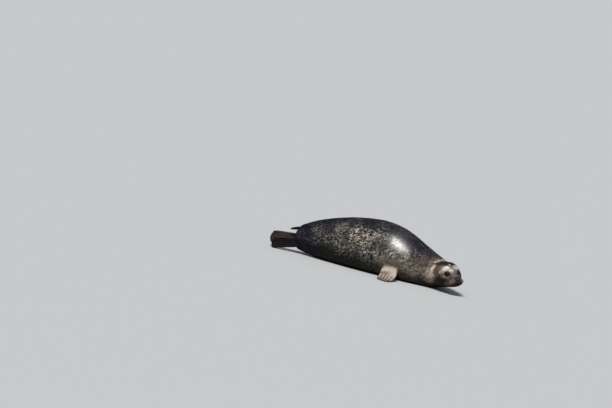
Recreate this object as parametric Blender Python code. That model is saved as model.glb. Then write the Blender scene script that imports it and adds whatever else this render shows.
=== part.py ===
"""A life-size harbor seal lying on its belly, head turned to its right and hind flippers laid together behind.

Lengths are in metres, +Z is up and the head points along +X. The seal is first shaped straight, by how far
back from the nose a point lies, how far to the left and how high. It is then bent along its spine.
"""

import math
from bisect import bisect_right
from collections import namedtuple

import bmesh
import bpy
from mathutils import Matrix, Vector

# Driving dimensions
BODY_LENGTH = 1.392  # nose to the end of the rump, along the spine
HEAD_TURN = math.radians(-38)  # to the seal's right
HEAD_TILT = math.radians(13)  # right side down
TILT_HEIGHT = 0.115  # the head tilts about a line at this height
NECK_FROM, NECK_TO = 0.17, 0.50  # where the spine turns, measured back from the nose
SEAM = 0.0003  # gap between two neighbouring pieces

NOSE_ROUNDING = 0.022
RUMP_ROUNDING = 0.036

# Where the body is parted, measured back from the nose
PARTINGS = (
    ("muzzle", 0.0, 0.056),
    ("head", 0.056, 0.200),
    ("neck", 0.200, 0.370),
    ("chest", 0.370, 0.640),
    ("trunk", 0.640, 1.000),
    ("rump", 1.000, BODY_LENGTH),
)

# Cross-sections along the body. widest is the height of the widest point as a share of the section, and the
# powers shape its upper and lower halves: 1 is an ellipse, less is squarer. What falls below the floor is
# laid flat on it.
Section = namedtuple("Section", "back half_width top bottom widest upper lower")
SECTIONS = (
    Section(0.000, 0.027, 0.122, 0.080, 0.50, 1.00, 0.90),  # nose
    Section(0.018, 0.040, 0.128, 0.067, 0.42, 1.00, 0.85),  # whisker pads
    Section(0.040, 0.046, 0.136, 0.057, 0.40, 1.05, 0.85),  # back of the muzzle
    Section(0.060, 0.052, 0.150, 0.051, 0.42, 1.05, 0.85),  # bridge
    Section(0.085, 0.064, 0.172, 0.046, 0.44, 1.00, 0.85),  # eyes
    Section(0.112, 0.075, 0.192, 0.041, 0.45, 1.00, 0.90),  # brow
    Section(0.145, 0.083, 0.205, 0.035, 0.46, 0.95, 0.90),  # cheeks
    Section(0.190, 0.090, 0.199, 0.026, 0.46, 0.95, 0.90),  # nape
    Section(0.240, 0.104, 0.193, 0.013, 0.45, 0.95, 0.90),  # neck
    Section(0.300, 0.126, 0.202, 0.001, 0.43, 1.00, 0.85),
    Section(0.370, 0.150, 0.227, -0.007, 0.42, 1.00, 0.80),  # shoulders
    Section(0.450, 0.173, 0.264, -0.013, 0.41, 1.00, 0.80),
    Section(0.540, 0.190, 0.309, -0.016, 0.40, 1.00, 0.80),  # chest
    Section(0.640, 0.197, 0.342, -0.016, 0.40, 1.00, 0.80),
    Section(0.750, 0.194, 0.357, -0.016, 0.40, 1.00, 0.80),  # belly
    Section(0.880, 0.180, 0.346, -0.015, 0.40, 1.00, 0.80),
    Section(1.000, 0.157, 0.324, -0.012, 0.41, 1.00, 0.80),  # loin
    Section(1.120, 0.128, 0.292, -0.006, 0.42, 1.00, 0.85),  # hips
    Section(1.220, 0.099, 0.258, 0.003, 0.45, 1.00, 0.90),
    Section(1.300, 0.075, 0.221, 0.013, 0.47, 1.00, 1.00),  # ankles
    Section(1.392, 0.052, 0.171, 0.030, 0.50, 1.00, 1.00),  # end of the rump
)

# Soft pushes that model the face: where, how wide, and by how much (back, out to the side, up).
Push = namedtuple("Push", "back side height radius by")
FACE = (
    Push(0.004, 0.000, 0.110, 0.017, (-0.004, 0.000, 0.003)),  # nose pad
    Push(0.000, 0.000, 0.089, 0.011, (0.004, 0.000, 0.000)),  # groove of the upper lip
    Push(0.026, 0.030, 0.089, 0.026, (-0.002, 0.005, 0.000)),  # whisker pads
    Push(0.014, 0.000, 0.068, 0.024, (-0.003, 0.000, -0.003)),  # chin
    Push(0.062, 0.000, 0.152, 0.024, (0.000, 0.000, -0.003)),  # dip of the bridge
    Push(0.078, 0.050, 0.141, 0.020, (0.000, -0.003, -0.001)),  # eye sockets
    Push(0.100, 0.040, 0.172, 0.026, (0.000, 0.002, 0.003)),  # brows
    Push(0.118, 0.072, 0.100, 0.045, (0.000, 0.004, 0.000)),  # cheeks
    Push(0.158, 0.080, 0.135, 0.012, (0.000, -0.005, 0.000)),  # ear openings
)

EYE_BACK, EYE_SIDE, EYE_HEIGHT = 0.081, 0.0350, 0.1395
EYE_RADIUS = 0.0185

MOUTH_BACK, MOUTH_FRONT_HEIGHT, MOUTH_BACK_HEIGHT = 0.084, 0.0840, 0.0760
MOUTH_CORNER_SLANT = 0.03  # how much farther back the jaw's cut reaches below the mouth's corner

# Flippers are set out as a flat sheet, -1 to 1 across from the first digit to the fifth and 0 to 1 along.
DIGITS_ACROSS = (-0.8, -0.4, 0.0, 0.4, 0.8)
FLIPPER_COLUMNS, FORE_ROWS, HIND_ROWS = 20, 10, 8
DIGIT_SPACING = 0.4
CORNER_ROUNDING = 0.07  # how far the outer corners fall short, as a share of the length
WEB_ROUNDING = 0.6  # less makes the notch between two digits narrower
RIM = 0.0016  # least half thickness
THINNED_BY = 0.8  # share of the length at which a flipper has its tip's thickness

# Fore flippers, the first digit the longest
FORE_BACK, FORE_SIDE, FORE_HEIGHT = 0.598, 0.140, 0.104
FORE_LENGTH, FORE_HALF_WIDTH = 0.262, 0.052
FORE_DIGITS = (1.00, 0.985, 0.94, 0.87, 0.79)
FORE_WEB = 0.040  # how far the webs fall short of the digits, as a share of the length
FORE_ROOT, FORE_TIP, FORE_RIDGE = 0.025, 0.0045, 0.0040  # half thicknesses
FORE_CLAW = (0.034, 0.0040)  # length, radius
FORE_HEADING_RIGHT, FORE_HEADING_LEFT = math.radians(60), math.radians(112)  # out from straight ahead
FORE_SWEEP = math.radians(14)  # how far its tip curves back
FORE_LEAN = 0.010  # how much higher its leading edge is at the root
FORE_LYING = 0.0078  # height of the hand's middle where it lies flat
FORE_DOWN = 0.8  # share of its length at which it has come down to the floor
FORE_ARCH = 1.35  # more makes it come down sooner
FORE_WRIST, FORE_SPREAD = 0.80, 0.28  # its width at the wrist and what the hand adds, as shares

# Hind flippers, the outer digits the longest. The left one is carried above the right.
HIND_BACK = 1.290
HIND_LENGTHS = {-1: 0.240, 1: 0.284}  # right and left
HIND_ROOT_HALF_WIDTH, HIND_TIP_HALF_WIDTHS = 0.030, {-1: 0.037, 1: 0.045}
HIND_DIGITS = (0.950, 0.988, 1.00, 0.985, 0.945)
HIND_WEB = 0.015
HIND_ROOT, HIND_TIP, HIND_RIDGE = 0.018, 0.0040, 0.0034
HIND_CLAW = (0.014, 0.0024)
FORE_CLAWED, HIND_CLAWED = 0.90, 0.86  # share of the length at which the claws grow out
CLAW_TIP, CLAW_HOOK, CLAW_SEGMENTS = 0.0006, 0.12, 8
HIND_LEAN = math.radians(20)
HIND_CUP = 0.010  # how much its edges curl in, across the tip
HIND_ENDS = {-1: ((-0.026, 0.080), (-0.050, 0.0330)), 1: ((0.026, 0.100), (0.006, 0.066))}  # root and tip

TAIL_BACK, TAIL_LENGTH, TAIL_HALF_WIDTH, TAIL_THICKNESS, TAIL_HEIGHT = 1.366, 0.126, 0.024, 0.0125, 0.182
TAIL_TAPER, TAIL_DROP, TAIL_BLUNTNESS = 0.25, 0.034, 0.18

# Rings round the body as (from, count): that many even steps to the next start
FACE_SEGMENTS, TRUNK_SEGMENTS, EYE_SEGMENTS, TAIL_SEGMENTS = 44, 32, 16, 16
FACE_RINGS = ((0.0, 5), (0.020, 5), (0.064, 5), (0.114, 6), (0.230, 4), (BODY_LENGTH, 0))
TRUNK_RINGS = ((0.0, 2), (0.10, 2), (0.19, 6), (0.50, 11), (1.20, 8), (BODY_LENGTH, 0))


def clear_scene():
    for obj in list(bpy.data.objects):
        bpy.data.objects.remove(obj, do_unlink=True)


def collection(name):
    made = bpy.data.collections.new(name)
    bpy.context.scene.collection.children.link(made)
    return made


def material(name, colour, roughness):
    made = bpy.data.materials.new(name)
    made.use_nodes = True
    shader = made.node_tree.nodes["Principled BSDF"]
    shader.inputs["Base Color"].default_value = (*colour, 1.0)
    shader.inputs["Roughness"].default_value = roughness
    shader.inputs["Metallic"].default_value = 0.0
    return made


def new_object(name, bm, finish, into):
    """Makes the bmesh an object of that name, with its faces pointing out."""
    bmesh.ops.recalc_face_normals(bm, faces=bm.faces)
    mesh = bpy.data.meshes.new(name)
    bm.to_mesh(mesh)
    bm.free()
    mesh.shade_smooth()
    mesh.set_sharp_from_angle(angle=math.radians(40))
    obj = bpy.data.objects.new(name, mesh)
    obj.data.materials.append(finish)
    into.objects.link(obj)
    return obj


def as_cutter(obj):
    obj.hide_render = True
    obj.display_type = "WIRE"
    return obj


def boolean(obj, other, operation="DIFFERENCE"):
    modifier = obj.modifiers.new(f"{operation.lower()}_{other.name}", "BOOLEAN")
    modifier.operation = operation
    modifier.object = other
    modifier.solver = "EXACT"


def swollen(obj, by, into):
    """A cutter the shape of obj's own mesh, larger by that much all round."""
    bm = bmesh.new()
    bm.from_mesh(obj.data)
    bm.normal_update()
    for vert in bm.verts:
        vert.co += vert.normal * by
    return as_cutter(new_object(f"{obj.name}_clearance", bm, obj.data.materials[0], into))


def smoothly(places, values, at):
    """The value at a place between the given ones, on a curve that never overshoots them."""
    if at <= places[0]:
        return values[0]
    if at >= places[-1]:
        return values[-1]
    steps = [b - a for a, b in zip(places, places[1:])]
    slopes = [(b - a) / s for a, b, s in zip(values, values[1:], steps)]

    def tangent(k):
        if k in (0, len(steps)):
            return slopes[max(k - 1, 0)]
        before, after = slopes[k - 1], slopes[k]
        if before * after <= 0:
            return 0.0
        return (steps[k - 1] + steps[k]) / (steps[k] / before + steps[k - 1] / after)

    k = bisect_right(places, at) - 1
    t = (at - places[k]) / steps[k]
    rise, start, end = values[k + 1] - values[k], tangent(k) * steps[k], tangent(k + 1) * steps[k]
    return values[k] + start * t + (3 * rise - 2 * start - end) * t**2 + (start + end - 2 * rise) * t**3


def section_at(back):
    places = [s.back for s in SECTIONS]
    return Section(back, *(smoothly(places, [s[k] for s in SECTIONS], back) for k in range(1, 7)))


def end_rounding(back):
    """From 0 at either tip of the body to 1 past its rounded end."""
    nose = min(back / NOSE_ROUNDING, 1.0)
    rump = min((BODY_LENGTH - back) / RUMP_ROUNDING, 1.0)
    return math.sqrt(max(0.0, 1 - (1 - nose) ** 2)) * math.sqrt(max(0.0, 1 - (1 - rump) ** 2))


def signed_power(value, power):
    return math.copysign(abs(value) ** power, value)


def pushed(point):
    """The point after every push on the face that reaches it, alike on both sides."""
    moved = point.copy()
    for push in FACE:
        for side in (1, -1) if push.side else (1,):
            centre = Vector((push.back, side * push.side, push.height))
            near = 1 - (point - centre).length_squared / (2 * push.radius) ** 2
            if near > 0:
                moved += near**3 * Vector((push.by[0], side * push.by[1], push.by[2]))
    return moved


def skin_point(back, angle):
    """The straight body's surface. Angle 0 is the left side, and a quarter turn is the back."""
    s = section_at(back)
    middle = s.bottom + s.widest * (s.top - s.bottom)
    size = end_rounding(back)
    over = math.sin(angle)
    power = s.upper if over > 0 else s.lower
    left = size * s.half_width * signed_power(math.cos(angle), power)
    reach = s.top - middle if over > 0 else middle - s.bottom
    up = middle + size * reach * signed_power(over, 1.0 if over > 0 else s.lower)
    return pushed(Vector((back, left, up)))


def turned_share(back):
    """How much of the head's turn and tilt the spine has at that place."""
    t = min(max((NECK_TO - back) / (NECK_TO - NECK_FROM), 0.0), 1.0)
    return t * t * (3 - 2 * t)


def spine_forward(back):
    heading = HEAD_TURN * turned_share(back)
    return Vector((math.cos(heading), math.sin(heading), 0.0))


SPINE_STEP = 0.005
SPINE = [Vector((BODY_LENGTH / 2, 0.0, 0.0))]
while len(SPINE) * SPINE_STEP < BODY_LENGTH + 0.2:
    SPINE.append(SPINE[-1] - SPINE_STEP * spine_forward((len(SPINE) - 0.5) * SPINE_STEP))


def bent(point):
    """Where the bent seal has a point of the straight one."""
    back, left, up = point
    k = max(int(back / SPINE_STEP), 0)
    on_spine = SPINE[k].lerp(SPINE[k + 1], back / SPINE_STEP - k)
    forward = spine_forward(back)
    to_left = Vector((-forward.y, forward.x, 0.0))
    tilt = HEAD_TILT * turned_share(back)
    across = left * math.cos(tilt) - (up - TILT_HEIGHT) * math.sin(tilt)
    height = TILT_HEIGHT + left * math.sin(tilt) + (up - TILT_HEIGHT) * math.cos(tilt)
    return on_spine + to_left * across + Vector((0.0, 0.0, height))


def laid(point):
    """The point, or the floor above it if it lies below the floor."""
    return Vector((point.x, point.y, max(point.z, 0.0)))


def body(name, segments, rings, finish, into):
    """The whole body from nose to rump: a sphere whose rings are set at the given places along the spine."""
    bm = bmesh.new()
    bmesh.ops.create_uvsphere(bm, u_segments=segments, v_segments=len(rings) - 1, radius=1.0)
    for vert in bm.verts:
        x, y, z = vert.co
        ring = round(math.acos(max(-1.0, min(1.0, z))) / math.pi * (len(rings) - 1))
        vert.co = laid(bent(skin_point(rings[ring], math.atan2(y, x))))
    return as_cutter(new_object(name, bm, finish, into))


def spread_places(anchors):
    """Places along the spine: from each (start, count), that many even steps to the next start."""
    places = []
    for (start, count), (end, _) in zip(anchors, anchors[1:]):
        places += [start + (end - start) * k / count for k in range(count)]
    return places + [anchors[-1][0]]


def between(whole, name, start, end, finish, into):
    """The length of the body between two flat cuts square to the spine, closed at both."""
    bm = bmesh.new()
    bm.from_mesh(whole.data)
    for place, side in ((start, 1), (end, -1)):
        if not 0 < place < BODY_LENGTH:
            continue
        outward = spine_forward(place) * side
        bmesh.ops.bisect_plane(
            bm,
            geom=[*bm.verts, *bm.edges, *bm.faces],
            plane_co=bent((place, 0.0, TILT_HEIGHT)) - outward * SEAM / 2,
            plane_no=outward,
            clear_outer=True,
        )
        bmesh.ops.contextual_create(bm, geom=[edge for edge in bm.edges if edge.is_boundary])
    return new_object(name, bm, finish, into)


def jaw_wedge(gap, finish, into):
    """The space below the mouth and in front of its corners, smaller by the gap. It clears the body elsewhere."""
    ahead, below, width = -0.05, -0.1, 0.3
    rise = (MOUTH_FRONT_HEIGHT - MOUTH_BACK_HEIGHT) / MOUTH_BACK
    bm = bmesh.new()
    bmesh.ops.create_cube(bm, size=1.0)
    for vert in bm.verts:
        behind, above = vert.co.x < 0, vert.co.z > 0
        back = MOUTH_BACK + (0.0 if above else MOUTH_CORNER_SLANT) - gap if behind else ahead
        height = MOUTH_BACK_HEIGHT + rise * (MOUTH_BACK - back) - gap if above else below
        vert.co = bent((back, width * vert.co.y, height))
    return as_cutter(new_object(f"jaw_wedge_{'in' if gap else 'out'}", bm, finish, into))


def eye(name, side, finish, into):
    bm = bmesh.new()
    bmesh.ops.create_uvsphere(bm, u_segments=EYE_SEGMENTS, v_segments=12, radius=EYE_RADIUS)
    bmesh.ops.translate(bm, verts=bm.verts, vec=bent((EYE_BACK, side * EYE_SIDE, EYE_HEIGHT)))
    return new_object(name, bm, finish, into)


def web_share(across):
    """0 over each digit and 1 in the middle of each web."""
    return 0.5 - 0.5 * math.cos(2 * math.pi * (across - DIGITS_ACROSS[0]) / DIGIT_SPACING)


def flipper_reach(across, along, digits, web):
    """How far out a point lies, as a share of the flipper's length."""
    tips = smoothly(DIGITS_ACROSS, digits, across)
    between_digits = 1 - (1 - web_share(across)) ** WEB_ROUNDING
    outermost = DIGITS_ACROSS[-1]
    corner = max(0.0, abs(across) - outermost) / (1 - outermost)
    return along * (tips - along**4 * (web * between_digits + CORNER_ROUNDING * corner**2))


def flipper_half_thickness(across, along, root, tip, ridge):
    """Thick at the root, with a ridge over each digit and a thin rounded edge."""
    base = root + (tip - root) * min(1.0, along / THINNED_BY)
    edge = math.sqrt(max(0.0, 1 - abs(across) ** 3)) * math.sqrt(max(0.0, 1 - along**8))
    digit = 1 - web_share(across)
    return RIM + edge * (base + ridge * digit * min(1.0, 2 * along) * (1 - 0.45 * along))


def fore_place(side):
    """Places a fore flipper: it leaves the chest, comes down to the floor and lies there pointing outward."""
    heading = side * (FORE_HEADING_RIGHT if side < 0 else FORE_HEADING_LEFT)
    root = bent((FORE_BACK, side * FORE_SIDE, 0.0))

    def place(across, along, thick):
        reach = FORE_LENGTH * flipper_reach(across, along, FORE_DIGITS, FORE_WEB)
        half = FORE_HALF_WIDTH * (FORE_WRIST + FORE_SPREAD * math.sin(math.pi * 0.95 * along))
        turn = heading + side * FORE_SWEEP * along
        out = Vector((math.cos(turn), math.sin(turn), 0.0))
        front = Vector((-out.y, out.x, 0.0)) * -side
        droop = (1 - min(1.0, along / FORE_DOWN)) ** FORE_ARCH
        thickness = flipper_half_thickness(across, along, FORE_ROOT, FORE_TIP, FORE_RIDGE)
        middle = FORE_LYING + (FORE_HEIGHT - FORE_LYING) * droop
        height = middle + thick * thickness - FORE_LEAN * across * droop
        point = root + out * reach - front * across * half
        return laid(Vector((point.x, point.y, height)))

    return place


def hind_place(side):
    """Places a hind flipper: it trails back on edge, its upper edge leaning to the left."""
    (root_y, root_z), (tip_y, tip_z) = HIND_ENDS[side]
    start = bent((HIND_BACK, 0.0, 0.0))
    down = Vector((0.0, -math.sin(HIND_LEAN), -math.cos(HIND_LEAN)))
    out = Vector((0.0, -math.cos(HIND_LEAN), math.sin(HIND_LEAN)))

    def place(across, along, thick):
        reach = HIND_LENGTHS[side] * flipper_reach(across, along, HIND_DIGITS, HIND_WEB)
        half = HIND_ROOT_HALF_WIDTH + (HIND_TIP_HALF_WIDTHS[side] - HIND_ROOT_HALF_WIDTH) * along
        cup = HIND_CUP * (across**2 - 0.5) * along
        thickness = flipper_half_thickness(across, along, HIND_ROOT, HIND_TIP, HIND_RIDGE)
        aside = root_y + (tip_y - root_y) * along
        middle = start + Vector((-reach, aside, root_z + (tip_z - root_z) * along))
        point = middle + down * across * half + out * (cup + thick * thickness)
        return laid(point)

    return place


def paddle(name, place, columns, rows, finish, into):
    """A flipper from a flat closed slab, its two faces at 1 and -1 of its half thickness."""
    bm = bmesh.new()
    bmesh.ops.create_grid(bm, x_segments=columns, y_segments=rows, size=1.0)
    for vert in bm.verts:
        vert.co = (vert.co.x, (vert.co.y + 1) / 2, 1.0)
    below = bmesh.ops.extrude_face_region(bm, geom=bm.faces[:])["geom"]
    for vert in [item for item in below if isinstance(item, bmesh.types.BMVert)]:
        vert.co.z = -1.0
    for vert in bm.verts:
        vert.co = place(*vert.co)
    return new_object(name, bm, finish, into)


def claw(name, place, across, start, size, finish, into):
    """A tapered, slightly hooked claw that grows out of the upper side of one digit."""
    length, radius = size
    root, ahead = place(across, start, 0.4), place(across, min(1.0, start + 0.08), 0.4)
    forward = (ahead - root).normalized()
    aside = place(across + 0.1, start, 0.4) - place(across - 0.1, start, 0.4)
    up = aside.cross(forward).normalized()
    if up.dot(place(across, start, 1.0) - place(across, start, -1.0)) < 0:
        up = -up
    aside = forward.cross(up)
    bm = bmesh.new()
    bmesh.ops.create_cone(
        bm,
        cap_ends=True,
        segments=CLAW_SEGMENTS,
        radius1=radius,
        radius2=CLAW_TIP,
        depth=length,
        matrix=Matrix.Translation((0, 0, length / 2)),
    )
    halfway = Vector((0, 0, length / 2))
    bmesh.ops.bisect_plane(
        bm, geom=[*bm.verts, *bm.edges, *bm.faces], plane_co=halfway, plane_no=(0, 0, 1)
    )
    for vert in bm.verts:
        share = vert.co.z / length
        wide = 1 + share * (1 - share)
        hook = -CLAW_HOOK * length * share**2
        spot = root + forward * vert.co.z + aside * vert.co.x * wide + up * (vert.co.y * wide + hook)
        vert.co = laid(spot)
    return as_cutter(new_object(name, bm, finish, into))


def clawed_flipper(name, place, rows, claw_start, claw_size, finish, into, claws):
    made = paddle(name, place, FLIPPER_COLUMNS, rows, finish, into)
    for number, across in enumerate(DIGITS_ACROSS, start=1):
        nail = claw(f"{name}_claw_{number}", place, across, claw_start, claw_size, finish, claws)
        boolean(made, nail, "UNION")
    return made


def tail(finish, into):
    """The short flat tail above the roots of the hind flippers."""
    bm = bmesh.new()
    bmesh.ops.create_uvsphere(bm, u_segments=TAIL_SEGMENTS, v_segments=10, radius=1.0)
    for vert in bm.verts:
        x, y, z = vert.co
        share = (1 - z) / 2
        narrow = (1.0 - TAIL_TAPER * share) / max(1 - z * z, 1e-6) ** TAIL_BLUNTNESS
        spot = (
            TAIL_BACK + TAIL_LENGTH * (share - 0.5),
            y * TAIL_HALF_WIDTH * narrow,
            TAIL_HEIGHT + x * TAIL_THICKNESS * narrow - TAIL_DROP * share,
        )
        vert.co = bent(spot)
    return new_object("tail", bm, finish, into)


def set_on_origin(outer, helpers):
    """Moves everything so that the middle of the outer pieces' footprint box is at the origin."""
    corners = [vert.co for obj in outer for vert in obj.data.vertices]
    shift = [-(min(c[k] for c in corners) + max(c[k] for c in corners)) / 2 for k in range(2)]
    for mesh in {obj.data for obj in [*outer, *helpers]}:
        mesh.transform(Matrix.Translation((*shift, 0.0)))


def main():
    clear_scene()
    seal, claws, cutters = collection("harbor_seal"), collection("claws"), collection("cutters")
    coat = material("coat", (0.075, 0.065, 0.060), 0.55)
    wet_eye = material("eye", (0.010, 0.007, 0.005), 0.05)

    face_body = body("face_body", FACE_SEGMENTS, spread_places(FACE_RINGS), coat, cutters)
    trunk_body = body("trunk_body", TRUNK_SEGMENTS, spread_places(TRUNK_RINGS), coat, cutters)
    body_clearance = swollen(trunk_body, SEAM, cutters)

    lengths = {}
    for name, start, end in PARTINGS:
        source = face_body if name in ("muzzle", "head") else trunk_body
        lengths[name] = between(source, name, start, end, coat, seal)
    jaw = between(face_body, "lower_jaw", 0.0, 0.2, coat, seal)
    boolean(jaw, jaw_wedge(SEAM, coat, cutters), "INTERSECT")
    wedge = jaw_wedge(0.0, coat, cutters)
    boolean(lengths["muzzle"], wedge)
    boolean(lengths["head"], wedge)

    for side, hand in ((1, "left"), (-1, "right")):
        ball = eye(f"eye_{hand}", side, wet_eye, seal)
        boolean(lengths["head"], swollen(ball, SEAM, cutters))
        for limb, place, rows, claw_start, claw_size in (
            ("fore", fore_place(side), FORE_ROWS, FORE_CLAWED, FORE_CLAW),
            ("hind", hind_place(side), HIND_ROWS, HIND_CLAWED, HIND_CLAW),
        ):
            name = f"{limb}_flipper_{hand}"
            made = clawed_flipper(name, place, rows, claw_start, claw_size, coat, seal, claws)
            boolean(made, body_clearance)

    boolean(tail(coat, seal), body_clearance)
    set_on_origin([*seal.objects, *claws.objects], cutters.objects)


main()
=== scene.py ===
"""A harbor seal on its belly: one hide, a short flat coat, dark eyes, nose leather, claws and whiskers."""

import math

import bmesh
import bpy
import numpy as np
from mathutils import Matrix, Vector, noise as turbulence
from mathutils.bvhtree import BVHTree
from mathutils.kdtree import KDTree


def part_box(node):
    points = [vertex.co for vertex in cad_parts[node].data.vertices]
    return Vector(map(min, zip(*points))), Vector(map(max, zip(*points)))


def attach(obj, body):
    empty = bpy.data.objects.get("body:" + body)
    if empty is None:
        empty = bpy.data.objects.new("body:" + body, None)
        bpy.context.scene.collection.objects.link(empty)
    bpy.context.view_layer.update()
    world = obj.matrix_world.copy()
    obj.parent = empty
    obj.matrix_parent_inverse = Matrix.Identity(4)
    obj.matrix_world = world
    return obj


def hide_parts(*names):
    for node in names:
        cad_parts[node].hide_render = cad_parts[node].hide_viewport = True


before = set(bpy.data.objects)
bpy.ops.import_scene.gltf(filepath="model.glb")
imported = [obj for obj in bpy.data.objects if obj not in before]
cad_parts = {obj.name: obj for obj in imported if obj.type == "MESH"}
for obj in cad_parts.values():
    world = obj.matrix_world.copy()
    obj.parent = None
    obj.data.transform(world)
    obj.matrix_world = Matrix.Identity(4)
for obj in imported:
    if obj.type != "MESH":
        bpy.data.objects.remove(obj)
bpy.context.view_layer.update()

# ----------------------------------------------------------------------
# The hide of head, neck and trunk. Skin over thick blubber, one smooth barrel from nose to rump, drawn in
# rings round the bent spine. It lies inside the solids by the depth of the coat, with creases pressed in.
# ----------------------------------------------------------------------
BODY_LENGTH, NECK_FROM, NECK_TO = 1.392, 0.170, 0.500
HEAD_TURN, HEAD_TILT, TILT_HEIGHT = math.radians(-38), math.radians(13), 0.115
FLESH = ("muzzle", "lower_jaw", "head", "neck", "chest", "trunk", "rump")
COAT_ON_FACE, COAT_ON_BODY, LEAST_HEIGHT = 0.0007, 0.0020, 0.0006
EYE_RADIUS = 0.0185
EYE_AT = {side: (0.081, 0.035 * side, 0.1395) for side in (-1, 1)}  # back from the nose, left, up


def long(ways):
    """The length of each way."""
    return np.linalg.norm(ways, axis=-1, keepdims=True)


def unit(ways):
    """Ways in the same direction, 1 long."""
    return ways / np.maximum(long(ways), 1e-9)


def ramp(value, start, end):
    """0 before start and 1 after end, with a smooth rise between."""
    share = np.clip((np.asarray(value, float) - start) / (end - start), 0.0, 1.0)
    return share * share * (3 - 2 * share)


GAZE = {side: unit(np.array((-0.60, 0.76 * side, 0.24))) for side in (-1, 1)}
SPINE_STEP = 0.0025
spine_back = np.arange(-0.10, BODY_LENGTH + 0.30, SPINE_STEP)
spine_heading = HEAD_TURN * (1 - ramp(spine_back + SPINE_STEP / 2, NECK_FROM, NECK_TO))
spine_x = -np.concatenate([[0], np.cumsum(np.cos(spine_heading) * SPINE_STEP)[:-1]])
spine_y = -np.concatenate([[0], np.cumsum(np.sin(spine_heading) * SPINE_STEP)[:-1]])
spine_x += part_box("rump")[0][0] - np.interp(BODY_LENGTH, spine_back, spine_x)
spine_y += (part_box("trunk")[0][1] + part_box("trunk")[1][1]) / 2 - spine_y[-1]


def ring_axes(back):
    """Where the spine is, its way to the left and its tilt, at these distances from the nose."""
    turned = 1 - ramp(back, NECK_FROM, NECK_TO)
    heading = HEAD_TURN * turned
    centre = np.stack([np.interp(back, spine_back, spine_x), np.interp(back, spine_back, spine_y)], -1)
    return centre, np.stack([-np.sin(heading), np.cos(heading)], -1), HEAD_TILT * turned


def bent(points):
    """Points of the straight seal, as back from the nose, left and up, where the bent seal has them."""
    back, left, up = np.moveaxis(np.asarray(points, float), -1, 0)
    centre, to_left, tilt = ring_axes(back)
    across = left * np.cos(tilt) - (up - TILT_HEIGHT) * np.sin(tilt)
    height = TILT_HEIGHT + left * np.sin(tilt) + (up - TILT_HEIGHT) * np.cos(tilt)
    return np.concatenate([centre + to_left * across[..., None], height[..., None]], -1)


def straightened(points):
    """The other way: back, left and up of points of the bent seal."""
    back = np.empty(len(points))
    for start in range(0, len(points), 20000):
        part = points[start : start + 20000]
        apart = (part[:, None, 0] - spine_x) ** 2 + (part[:, None, 1] - spine_y) ** 2
        back[start : start + 20000] = spine_back[apart.argmin(1)]
    for _ in range(3):
        centre, to_left, tilt = ring_axes(back)
        away = points[:, :2] - centre
        back = back - away[:, 0] * to_left[:, 1] + away[:, 1] * to_left[:, 0]
    centre, to_left, tilt = ring_axes(back)
    across = ((points[:, :2] - centre) * to_left).sum(1)
    height = points[:, 2] - TILT_HEIGHT
    left = across * np.cos(tilt) + height * np.sin(tilt)
    return np.stack([back, left, TILT_HEIGHT - across * np.sin(tilt) + height * np.cos(tilt)], -1)


def surface_of(names):
    """The faces of several solids as one surface to measure against."""
    verts, faces = [], []
    for name in names:
        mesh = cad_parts[name].data
        faces += [[len(verts) + k for k in face.vertices] for face in mesh.polygons]
        verts += [vert.co.copy() for vert in mesh.vertices]
    return BVHTree.FromPolygons(verts, faces)


CORE_BACK = (0.0, 0.1, 0.2, 0.37, 0.6, 1.0, 1.39)
CORE_UP = (0.100, 0.103, 0.102, 0.105, 0.145, 0.145, 0.102)


def core_height(back):
    """A height well inside the body, round which the rings are drawn."""
    return np.interp(back, CORE_BACK, CORE_UP)


# Rings stand close together on the face, wider apart on the trunk, and close up at both ends.
flesh_surface = surface_of([*FLESH, "eye_left", "eye_right"])
ahead = Vector((math.cos(HEAD_TURN), math.sin(HEAD_TURN), 0.0))
nose_tip = flesh_surface.ray_cast(Vector(bent((-0.08, 0.0, 0.104))), -ahead)[3] - 0.08
NOSE_CAP, NOSE_CAP_RINGS, RUMP_CAP, RUMP_CAP_RINGS = 0.015, 14, 0.055, 15
# Face, cheeks, neck and trunk: the gap before the first ring, where they end and how far apart they are.
TRUNK_END = BODY_LENGTH - 0.060
RUNS = ((0.0013, 0.108, 0.0013), (0.0022, 0.2, 0.0028), (0.004, 0.42, 0.0052), (0.008, TRUNK_END, 0.01))
rings = nose_tip + NOSE_CAP * (1 - np.cos(np.linspace(0, math.pi / 2, NOSE_CAP_RINGS)))
for gap, end, step in RUNS:
    rings = np.concatenate([rings, np.arange(rings[-1] + gap, end, step)])
rump_rings = BODY_LENGTH - RUMP_CAP * (1 - np.cos(np.linspace(math.pi / 2, 0, RUMP_CAP_RINGS)))
rings = np.concatenate([rings, rump_rings])
RING_POINTS = 208
ring_angles = np.arange(RING_POINTS) * 2 * math.pi / RING_POINTS

PARTINGS, BESIDE = np.array((0.056, 0.200, 0.370, 0.640, 1.000)), 0.0006  # a ring never looks into a cut

radii = np.zeros((len(rings), RING_POINTS))
RAY_FROM = 0.5
for i in range(1, len(rings) - 1):
    in_cut = np.abs(PARTINGS - rings[i]).min() < BESIDE
    core = np.array([rings[i] + 2 * BESIDE * in_cut, 0.0, core_height(rings[i])])
    middle = Vector(bent(core))
    around = np.stack([0 * ring_angles, np.cos(ring_angles), np.sin(ring_angles)], -1)
    for j, outer in enumerate(bent(core + RAY_FROM * around)):
        hit = flesh_surface.ray_cast(Vector(outer), (middle - Vector(outer)).normalized())
        radii[i, j] = max(RAY_FROM - hit[3], 0.0) if hit[0] else 0.0

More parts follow.
